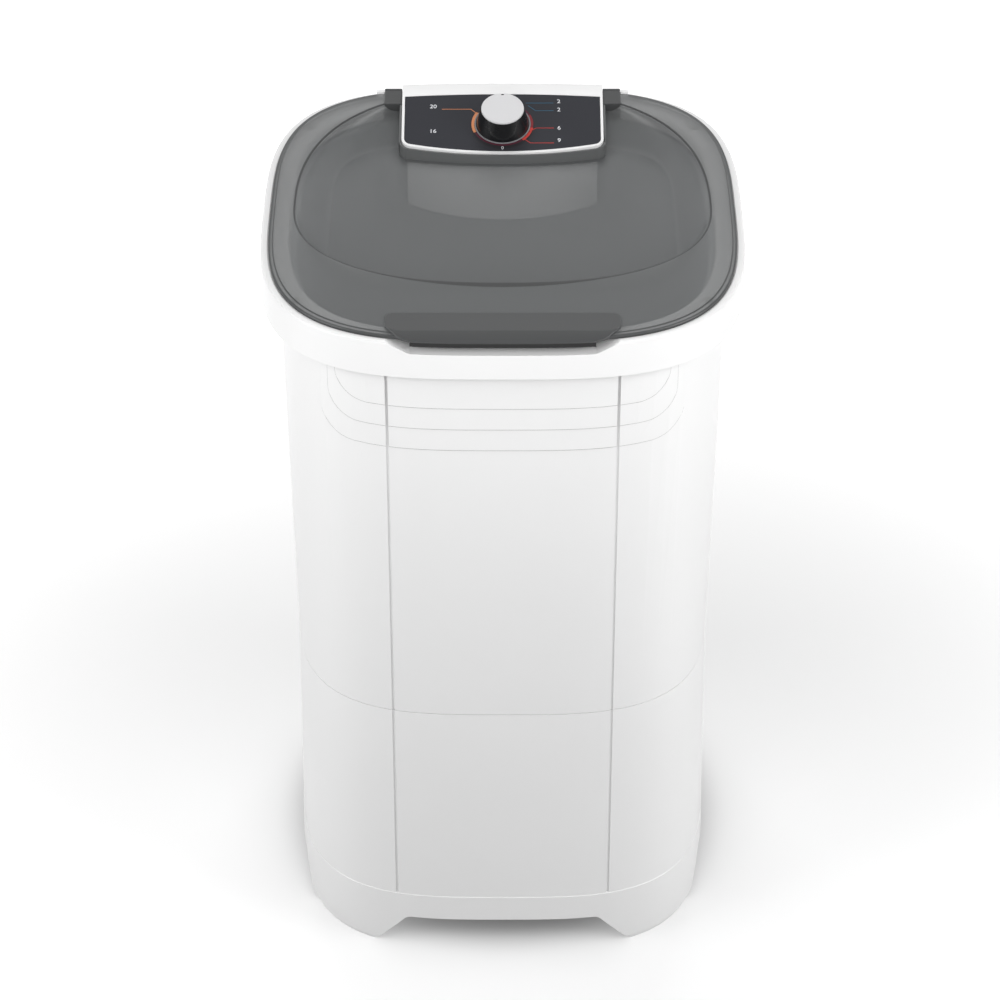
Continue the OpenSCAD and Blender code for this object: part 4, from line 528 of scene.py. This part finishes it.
def console_line(bm, clear, back_ys, z=0.0):
    """A chain at a distance round the console: back on the left, round the front, back on the right."""
    w, y0, r = console_half_w + clear, console_front_y - clear, console_corner_r + clear
    arc_r = (w * w + console_bulge * console_bulge) / (2 * console_bulge)
    opened = math.asin((w - r) / (arc_r - r))
    corner_y = y0 + arc_r - (arc_r - r) * math.cos(opened)
    chain = [bm.verts.new((-w, y, z)) for y in (*back_ys, corner_y)]
    for pair in zip(chain, chain[1:]):
        bm.edges.new(pair)
    last = chain[-1]
    corner_turn = math.pi / 2 - opened
    turns = [((r - w, corner_y, z), corner_turn, 8), ((0, y0 + arc_r, z), 2 * opened, 24),
             ((w - r, corner_y, z), corner_turn, 8)]
    for centre, angle, count in turns:
        turned = bmesh.ops.spin(bm, geom=[last], cent=centre, axis=(0, 0, 1), dvec=(0, 0, 0), angle=angle,
                                steps=count, use_merge=False)
        last = only(BMVert, turned["geom_last"])[0]
    for y in reversed(back_ys):
        moved = bm.verts.new((w, y, z))
        bm.edges.new((last, moved))
        last = moved
    return chain[0], last


# %% The notch, cut through the lid's wall
lid_t, collar_gap, collar_t = 3.0, 0.7, 2.2
notch = bmesh.new()
first, last = console_line(notch, collar_gap + collar_t / 2, (330.0,), z=800.0)
notch.edges.new((last, first))
bmesh.ops.contextual_create(notch, geom=notch.edges[:])
raised = bmesh.ops.extrude_face_region(notch, geom=notch.faces[:])["geom"]
bmesh.ops.translate(notch, verts=only(BMVert, raised), vec=(0, 0, 100))
bmesh.ops.recalc_face_normals(notch, faces=notch.faces)
lid_skin = as_object(bm, "lid_skin")
for material in (smoke, smoke_thick, smoke_crease_shade, smoke_under):
    lid_skin.data.materials.append(material)
wall = lid_skin.modifiers.new("wall", "SOLIDIFY")
wall.thickness, wall.offset, wall.material_offset = lid_t * mm, -1.0, 3
shell = cut(lid_skin, notch)
print("lid shell:", len(shell.verts), "vertices")
lid_pieces = [finished(shell, "lid_shell", smoke, "lid", ("lid",), roll=0.25, sharp=50)]
for material in (smoke_thick, smoke_crease_shade, smoke_under):
    lid_pieces[0].data.materials.append(material)

# %% [markdown]
# ## Collar, handle and hinge lugs of the lid
# Round the console the lid turns down in a thin collar, and at its back corners it carries the lugs that
# swing on two steel pins. The handle is a raised pad with a lip that hangs over the finger dip. All of it
# is the same moulding as the lid. They are shaped on their own here, because each grows from a simpler
# start: the collar from the console's own outline, the pad from its corners, the lug from a cylinder.

# %% The collar
hinge_y, hinge_z = 262.0, 866.0
collar_back_y = hinge_y - 33.0


def along_profile(points, y):
    """Height of a profile of (y, z) points at y."""
    for (y0, z0), (y1, z1) in zip(points, points[1:]):
        if y <= y1:
            return z0 + (z1 - z0) * max(y - y0, 0.0) / (y1 - y0)
    return points[-1][1]


collar_top = [(console_front_y, 851.0), (collar_back_y, hinge_z + 5.0), (hinge_y, hinge_z + 5.0)]
collar_foot = [(dish_floor["back"], 836.5), (collar_back_y, hinge_z - 8.0), (hinge_y, hinge_z - 5.0)]
bm = bmesh.new()
console_line(bm, collar_gap + collar_t / 2, (hinge_y, collar_back_y, 206.0, dish_floor["back"], 165.0))
raised = bmesh.ops.extrude_edge_only(bm, edges=bm.edges[:])["geom"]
upper = set(only(BMVert, raised))
for vert in bm.verts:
    vert.co.z = along_profile(collar_top if vert in upper else collar_foot, vert.co.y)
collar = as_object(bm, "collar")
wall = collar.modifiers.new("wall", "SOLIDIFY")
wall.thickness, wall.offset = collar_t * mm, 0.0
# The collar's lighter smoke is painted light.
lid_pieces.append(finished(applied(collar), "lid_collar", smoke_collar_lightened, "lid", roll=0.5,
                           sharp=40))


# %% The handle pad and its lip
def plate(corners, z0, z1):
    """A plate in mm from corners (x, y, radius), its upright corners rounded."""
    bm = bmesh.new()
    verts = [bm.verts.new((x, y, z0)) for x, y, r in corners]
    bm.faces.new(verts)
    raised = bmesh.ops.extrude_face_region(bm, geom=bm.faces[:])["geom"]
    bmesh.ops.translate(bm, verts=only(BMVert, raised), vec=(0, 0, z1 - z0))
    bmesh.ops.recalc_face_normals(bm, faces=bm.faces)
    for x, y, r in corners:
        if r:
            upright = [e for e in bm.edges if all(abs(v.co.x - x) + abs(v.co.y - y) < 0.01 for v in e.verts)]
            bmesh.ops.bevel(bm, geom=upright, offset=r, offset_type="OFFSET", affect="EDGES", segments=6,
                            profile=0.5, material=-1)
    return bm


def in_metres(bm):
    """A bmesh in mm brought to metres."""
    bmesh.ops.scale(bm, vec=(mm, mm, mm), verts=bm.verts)
    return bm


pad_front_y = -261.0
pad_half_w, pad_front_half_w = 124.0, 108.0
pad = plate([(-pad_half_w, pad_front_y + 6.5, 5), (-pad_front_half_w, pad_front_y + 0.5, 4),
             (pad_front_half_w, pad_front_y + 0.5, 4), (pad_half_w, pad_front_y + 6.5, 5),
             (pad_half_w, pad_front_y + 36, 9), (-pad_half_w, pad_front_y + 36, 9)], 867.2, 871.4)
lid_pieces.append(finished(in_metres(pad), "lid_handle_pad", smoke_pad, "lid", roll=0.6,
                           segments=3))


rim_half_w = 265.0


def rim_reach(x):
    """How far the rim's outline reaches to the front at x, in mm."""
    return (rim_half_w + plan_deeper) * (1 - (abs(x) / rim_half_w) ** plan_power) ** (1 / plan_power)


lip_front_y, lip_half_w = -277.0, 97.5
lip_xs = [lip_half_w * (i / 8 - 1) for i in range(17)]
front = [(x, lip_front_y + rim_reach(0) - rim_reach(x), 0) for x in lip_xs]
lip_right = [(110, -268.5, 0), (122, -255, 0), (122, -237, 0)]
lip_left = [(-x, y, r) for x, y, r in reversed(lip_right)]
lip = plate(front + lip_right + lip_left, 865.1, 880.0)
for point, normal in (((0, lip_front_y, 866.7), (0, -4.4, 16)), ((0, 0, 871.1), (0, 0, 1))):
    sliced = bmesh.ops.bisect_plane(lip, geom=lip.verts[:] + lip.edges[:] + lip.faces[:], plane_co=point,
                                    plane_no=normal, clear_outer=True)
    bmesh.ops.contextual_create(lip, geom=only(BMEdge, sliced["geom_cut"]))
bmesh.ops.recalc_face_normals(lip, faces=lip.faces)
lid_pieces.append(finished(in_metres(lip), "lid_handle_lip", smoke_thick, "lid", roll=0.7,
                           segments=3))

# %% The lip's turned-down edge, near black as a painted shadow in the gap under the lip
edge_front = [(x, y + 0.6, 0) for x, y, r in front]
lip_edge = plate(edge_front + [(lip_half_w, -268.0, 0), (-lip_half_w, -268.0, 0)], 859.8, 865.4)
lid_pieces.append(finished(in_metres(lip_edge), "lid_lip_edge", smoke_lip_shadow, "lid", roll=0.4))

# %% The hinge lugs
lug_r, lug_w = 6.5, 18.0
arm_l, arm_h, arm_drop = 34.0, 3.4 + lug_r, 4
for side, label in ((-1, "left"), (1, "right")):
    x0 = console_half_w + collar_gap + 0.2
    length = lug_w + collar_t
    bm = bmesh.new()
    bmesh.ops.create_cone(bm, cap_ends=True, segments=48, radius1=lug_r, radius2=lug_r, depth=length)
    bmesh.ops.rotate(bm, cent=(0, 0, 0), matrix=Matrix.Rotation(math.pi / 2, 3, "Y"), verts=bm.verts)
    bmesh.ops.translate(bm, vec=(side * (x0 + length / 2), hinge_y, hinge_z), verts=bm.verts)
    arm = bmesh.ops.create_cube(bm, size=1.0)["verts"]
    bmesh.ops.scale(bm, vec=(length - 0.2, arm_l, arm_h), verts=arm)
    arm_place = (side * (x0 + length / 2 - 0.1), collar_back_y + 16.0, hinge_z - arm_drop + arm_h / 2)
    bmesh.ops.translate(bm, vec=arm_place, verts=arm)
    lid_pieces.append(finished(in_metres(bm), "lid_lug_" + label, smoke_thick, "lid", roll=0.8,
                               segments=3))
lid_pieces += [dressed("lid_buffers", pale_rubber, "lid", roll=0.6),
               dressed("hinge_pins", bright_steel, roll=0.4)]
print("lid pieces:", [piece.name for piece in lid_pieces])

# %% The panel, the dial ring and the knob
panel_pieces = [dressed("control_panel", slate_film, roll=0.3),
                dressed("dial_ring", ring_silver, roll=0.2),
                dressed("knob_skirt", gloss_black, "timer_knob", roll=0.5),
                dressed("knob_cap", cap_white, "timer_knob", roll=0.4)]
print("panel pieces:", [piece.name for piece in panel_pieces])

# %% [markdown]
# ## The works inside
# The tub, the drive and the drain are seen with the lid open and from below. Each keeps its CAD shape with
# rolled edges and gets the finish of its real counterpart: steel, cast alloy, bronze, rubber or nylon.

# %% Finishes of the inner pieces
inner = [
    ("agitator", tub_white, "wash_drive", "tub_plastic", 0.8),
    ("agitator_cap", tub_white, "wash_drive", "tub_plastic", 0.6),
    ("agitator_bolt", bright_steel, "wash_drive", "screw_steel", 0.3),
    ("drive_shaft", bright_steel, "wash_drive", "screw_steel", 0.4),
    ("driven_pulley", dark_nylon, "wash_drive", "dark_plastic", 0.5),
    ("pulley_nut", bright_steel, "wash_drive", "screw_steel", 0.4),
    ("motor_shaft", bright_steel, "motor_rotor", "screw_steel", 0.3),
    ("motor_pulley", cast_alloy, "motor_rotor", "cast_alloy", 0.3),
    ("motor_fan", dark_nylon, "motor_rotor", "dark_plastic", 0.2),
    ("timer_shaft", bright_steel, "timer_knob", "screw_steel", 0.2),
    ("filter_frame", filter_plastic, "lint_filter", "filter_blue", 0.5),
    ("foot_pads", rubber, "cabinet", "rubber_black", 0.5),
    ("cabinet_screws", bright_steel, "cabinet", "screw_steel", 0.2),
    ("timer_body", timer_cream, "cabinet", "timer_plastic", 0.6),
    ("timer_screws", bright_steel, "cabinet", "screw_steel", 0.2),
    ("bearing_housing", cast_alloy, "cabinet", "cast_alloy", 0.8),
    ("shaft_bushes", sinter_bronze, "cabinet", "bronze", 0.2),
    ("shaft_seal", rubber, "cabinet", "rubber_black", 0.2),
    ("bearing_screws", bright_steel, "cabinet", "screw_steel", 0.2),
    ("drive_belt", rubber, "cabinet", "rubber_black", 0.3),
    ("motor_bracket", rolled_steel, "cabinet", "screw_steel", 0.3),
    ("motor_mounts", rubber, "cabinet", "rubber_black", 0.5),
    ("motor_bolts", bright_steel, "cabinet", "screw_steel", 0.2),
    ("motor_shell", motor_paint, "cabinet", "motor_paint", 0.5),
    ("motor_top_cover", cast_alloy, "cabinet", "cast_alloy", 0.8),
    ("motor_foot_cover", cast_alloy, "cabinet", "cast_alloy", 0.8),
    ("motor_tie_bolts", bright_steel, "cabinet", "screw_steel", 0.2),
    ("capacitor", cast_alloy, "cabinet", "cast_alloy", 0.8),
    ("capacitor_nut", bright_steel, "cabinet", "screw_steel", 0.2),
    ("drain_strainer", bright_steel, "cabinet", "screw_steel", 0.2),
    ("drain_elbow", dark_nylon, "cabinet", "dark_plastic", 0.4),
    ("drain_hose", hose_skin, "cabinet", "hose_grey", 0.4),
    ("hose_clamps", bright_steel, "cabinet", "screw_steel", 0.2),
    ("drain_spout", dark_nylon, "cabinet", "dark_plastic", 0.4),
    ("cord_gland", rubber, "cabinet", "rubber_black", 0.4),
    ("wiring_loom", sleeve_skin, "cabinet", "loom_sleeve", 0.3),
    ("filter_guide", tub_white, "cabinet", "tub_plastic", 0.3)]
for name, material, body, slot, roll in inner:
    dressed(name, material, body, roll)
nodes["filter_net"].data.materials.clear()
nodes["filter_net"].data.materials.append(net)
print("inner pieces:", len(inner))

# %% [markdown]
# ## The print on the panel
# A printed panel carries its marks as ink, far too thin to model as relief, yet they must stay sharp. An
# image texture would blur them, so each mark is a sheet a tenth of a millimetre thick that lies on the
# panel. Flat marks are drawn in the panel's own plane, X to the right and Y up the slope, and one matrix
# lays them all on the tilted face.

# %% The panel's plane
console_front = Vector((0.0, 147.0, 852.5)) * mm
console_tilt = math.radians(16.3)
panel_place = Matrix.Translation(console_front) @ Matrix.Rotation(console_tilt, 4, "X")
panel_face = -0.2
knob_v = 46.84
ink_t = 0.12


def ink(name, colour, rough=0.55):
    """A printing ink: a slightly uneven coat of one colour."""
    return plastic(name, colour, rough, scale=2600.0, height=0.01, drift_amount=0.12)


white_ink = ink("white_ink", (0.80, 0.81, 0.84))
ground_ink_and_shadow = ink("ground_ink_and_shadow", (0.012, 0.012, 0.015))
# Partly print, partly painted shadow: a dark halo under the dial.
halo_ink_and_shadow = ink("halo_ink_and_shadow", (0.018, 0.018, 0.023))
dim_red_ink = ink("dim_red_ink", (0.20, 0.020, 0.025))
orange_ink = ink("orange_ink", (0.62, 0.24, 0.11))
red_ink = ink("red_ink", (0.52, 0.045, 0.035))
wine_ink = ink("wine_ink", (0.075, 0.008, 0.022))
blue_ink = ink("blue_ink", (0.030, 0.115, 0.19))


# %% Arcs and leader lines
def laid(bm, name, material, thick=ink_t):
    """Gives flat faces the thickness of ink and lays them on the panel."""
    top = bmesh.ops.extrude_face_region(bm, geom=bm.faces[:])["geom"]
    bmesh.ops.translate(bm, verts=only(BMVert, top), vec=(0, 0, thick))
    bmesh.ops.translate(bm, verts=bm.verts, vec=(0, 0, panel_face))
    bmesh.ops.recalc_face_normals(bm, faces=bm.faces)
    bmesh.ops.transform(bm, matrix=panel_place @ Matrix.Scale(mm, 4), verts=bm.verts)
    return finished(bm, name, material, "cabinet", roll=0)


def arc(name, material, inner_r, outer_r, start, end, thick=ink_t, lower=0.0):
    """A flat arc round the knob, or a little lower, from one angle to another, in degrees from the right."""
    bm = bmesh.new()
    ends = [bm.verts.new((r * math.cos(math.radians(start)), r * math.sin(math.radians(start)), 0))
            for r in (inner_r, outer_r)]
    edge = bm.edges.new(ends)
    closed = end - start == 360
    bmesh.ops.spin(bm, geom=[*ends, edge], cent=(0, 0, 0), axis=(0, 0, 1), dvec=(0, 0, 0),
                   angle=math.radians(end - start), steps=96 if closed else 28, use_merge=closed)
    bmesh.ops.translate(bm, verts=bm.verts, vec=(0, knob_v - lower, 0))
    return laid(bm, name, material, thick)


def leader(name, material, points, width=0.7):
    """A thin line through points on the panel, in mm, mitred where it turns."""
    bm = bmesh.new()
    sides = []
    for i, point in enumerate(points):
        at = Vector(point)
        before, after = Vector(points[max(i - 1, 0)]), Vector(points[min(i + 1, len(points) - 1)])
        along = [(b - a).normalized() for a, b in ((before, at), (at, after)) if a != b]
        mean = sum(along, Vector((0, 0))).normalized()
        across = Vector((-mean.y, mean.x)) * width / 2 / max(mean.dot(along[0]), 0.5)
        sides.append([bm.verts.new((*(at + s * across), 0)) for s in (-1, 1)])
    for a, b in zip(sides, sides[1:]):
        bm.faces.new((a[0], b[0], b[1], a[1]))
    return laid(bm, name, material)


# The dark ground and the wider halo sit a little below the knob: partly print, partly a painted shadow under
# the dial.
arcs = [arc("dial_halo_ink_and_shadow", halo_ink_and_shadow, 20.0, 39.0, 0, 360, 0.03, 4.5),
        arc("dial_ground_and_shadow", ground_ink_and_shadow, 20.0, 36.5, 0, 360, 0.06, 3.0),
        arc("arc_orange", orange_ink, 32.6, 35.8, 148, 203),
        arc("arc_wine", wine_ink, 32.6, 35.0, 205, 311),
        arc("arc_red", red_ink, 32.6, 35.8, 312, 350),
        arc("arc_red_dim", dim_red_ink, 32.6, 35.4, 350.5, 385),
        arc("arc_red_fade", wine_ink, 32.6, 35.0, 385.5, 402)]
leaders = [leader("leader_orange", orange_ink, [(-70, 70.5), (-36.5, 70.5), (-29.6, 63.6)]),
           leader("leader_blue_high", blue_ink, [(59, 80.5), (27, 80.5)]),
           leader("leader_blue_low", blue_ink, [(29.5, 76.5), (38, 68.2), (59, 68.2)]),
           leader("leader_red_high", red_ink, [(30.5, 34.0), (38.5, 40.2), (59, 40.2)]),
           leader("leader_red_low", red_ink, [(25.0, 22.6), (32, 16.4), (59, 16.4)])]
print("arcs and leaders:", len(arcs), len(leaders))


# %% Numbers beside the leaders
def number(text, x, v, size):
    """A number set in the panel's plane, with its middle at x and v in mm."""
    curve = bpy.data.curves.new("number", "FONT")
    curve.body, curve.size = text, size
    curve.align_x, curve.align_y = "CENTER", "CENTER"
    curve.resolution_u = 3
    letter = bpy.data.objects.new("number", curve)
    bpy.context.scene.collection.objects.link(letter)
    bpy.context.view_layer.update()
    mesh = bpy.data.meshes.new_from_object(letter.evaluated_get(bpy.context.evaluated_depsgraph_get()))
    bm = bmesh.new()
    bm.from_mesh(mesh)
    bpy.data.objects.remove(letter)
    bpy.data.meshes.remove(mesh)
    bmesh.ops.remove_doubles(bm, verts=bm.verts, dist=1e-4)
    bmesh.ops.translate(bm, verts=bm.verts, vec=(x, v, 0))
    return laid(bm, "number_" + text + "_" + str(round(abs(x) * 10 + v)), white_ink)


numbers = [number("20", -80, 74.6, 8.4), number("16", -80, 35.0, 8.4), number("2", 65, 83.0, 8.4),
           number("2", 65, 69.6, 8.4), number("6", 65, 40.2, 8.4), number("9", 65, 20.4, 8.4),
           number("0", 0, 8.4, 6.4)]
print("numbers:", len(numbers))

# %% [markdown]
# ## Studio
# The photograph is a catalogue picture: white all round, and soft lights on both sides that make the
# corners of the body brighter than its front. A small lamp before the top of the body gives the fall of
# light down its front, and one behind lights the top. A single big lamp would be simpler, but it can't give
# that fall. The floor is pale and keeps a soft shadow. Its glow, seen by the camera, in reflections and
# through clear parts, is low near the machine, a painted shadow round it, and brighter away from it. What
# the camera sees of the world is plain white.

# %% The world
scene = bpy.context.scene
scene.view_settings.view_transform = "Standard"
world = bpy.data.worlds.new("studio")
scene.world = world
world.use_nodes = True
tree = world.node_tree
background = tree.nodes["Background"]
background.inputs["Color"].default_value = (1, 1, 1, 1)
rays = add(tree, "ShaderNodeLightPath").outputs
seen = maths(tree, "MAXIMUM", rays["Is Camera Ray"], rays["Is Transmission Ray"])
world_light, world_shine = 0.29, 0.60
mirrored = maths(tree, "MULTIPLY", rays["Is Glossy Ray"], world_shine - world_light)
lit = maths(tree, "ADD", world_light, maths(tree, "MULTIPLY", seen, 1.0 - world_light))
tree.links.new(maths(tree, "ADD", lit, mirrored), background.inputs["Strength"])


# %% Four soft lamps
def soft_lamp(name, place, aim, width, height, watts, shine=True):
    """A rectangular lamp that the camera doesn't see; without shine no surface mirrors it."""
    data = bpy.data.lights.new(name, "AREA")
    data.shape, data.size, data.size_y, data.energy = "RECTANGLE", width, height, watts
    lamp = bpy.data.objects.new(name, data)
    scene.collection.objects.link(lamp)
    lamp.location = place
    lamp.rotation_mode = "QUATERNION"
    lamp.rotation_quaternion = (Vector(aim) - lamp.location).to_track_quat("-Z", "Y")
    lamp.visible_camera, lamp.visible_glossy = False, shine
    return lamp


lamps = [soft_lamp("before", (0, -1.0, 1.25), (0, -0.25, 0.8), 0.8, 0.4, 4.4, shine=False),
         soft_lamp("left", (-1.8, -0.8, 1.3), (0, 0, 0.5), 1.2, 1.6, 23.5),
         soft_lamp("right", (1.8, -0.8, 1.3), (0, 0, 0.5), 1.2, 1.6, 27.0),
         soft_lamp("behind", (0, 1.6, 2.4), (0, 0, 0.8), 1.6, 1.0, 34.0, shine=False)]
print("lamps, W:", {lamp.name: round(lamp.data.energy, 1) for lamp in lamps})

# %% The floor
bm = bmesh.new()
bmesh.ops.create_grid(bm, x_segments=1, y_segments=1, size=14.0)
mesh = bpy.data.meshes.new("floor")
bm.to_mesh(mesh)
bm.free()
floor = bpy.data.objects.new("floor", mesh)
scene.collection.objects.link(floor)
floor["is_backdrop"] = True
floor_paint = bpy.data.materials.new("floor_paint")
floor_paint.use_nodes = True
tree = floor_paint.node_tree
shader = tree.nodes["Principled BSDF"]
shader.inputs["Base Color"].default_value = (0.55, 0.55, 0.55, 1)
shader.inputs["Roughness"].default_value = 0.9
shader.inputs["Specular IOR Level"].default_value = 0.0
shader.inputs["Emission Color"].default_value = (1, 1, 1, 1)
here = add(tree, "ShaderNodeTexCoord").outputs["Object"]
away = add(tree, "ShaderNodeVectorMath", {0: here}, operation="LENGTH").outputs["Value"]
place = add(tree, "ShaderNodeSeparateXYZ", {0: here}).outputs
# The floor's glow is low near the machine and shaped front to back and side to side: a painted shadow round
# the machine.
glow_with_painted_shadow = 0.0
painted_shadow_ramps = [(away, 0.20, 0.285, 0.03, 0.33), (away, 0.4, 1.6, 0.0, 0.5),
               (place["Y"], -0.35, 0.35, 0.10, 0.0), (place["X"], -0.35, 0.35, 0.02, -0.04)]
for source, starts, ends, low, high in painted_shadow_ramps:
    ramp = add(tree, "ShaderNodeMapRange", {"Value": source},
               {"From Min": starts, "From Max": ends, "To Min": low, "To Max": high},
               interpolation_type="SMOOTHSTEP")
    glow_with_painted_shadow = maths(tree, "ADD", ramp.outputs[0], glow_with_painted_shadow)
rays = add(tree, "ShaderNodeLightPath").outputs
indirect = maths(tree, "MAXIMUM", rays["Is Glossy Ray"], rays["Is Transmission Ray"])
seen = maths(tree, "MAXIMUM", rays["Is Camera Ray"], indirect)
tree.links.new(maths(tree, "MULTIPLY", seen, glow_with_painted_shadow), shader.inputs["Emission Strength"])
mesh.materials.append(floor_paint)

# %% The camera at the photograph's angle
down = math.radians(35.23)
camera_x, camera_distance, aim_z = -0.0029, 4.1, 0.471
camera = bpy.data.objects.new("camera", bpy.data.cameras.new("camera"))
scene.collection.objects.link(camera)
camera.data.lens, camera.data.sensor_width = 126.0, 36.0
camera.location = (camera_x, -camera_distance * math.cos(down), aim_z + camera_distance * math.sin(down))
camera.rotation_euler = (math.pi / 2 - down, 0, 0)
scene.camera = camera

# %% Sizes, and the end
size_at_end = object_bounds()
grown = [round((b - a) / mm, 2) for p, q in zip(size_at_start, size_at_end) for a, b in zip(p, q)]
print("grown by, mm:", grown)
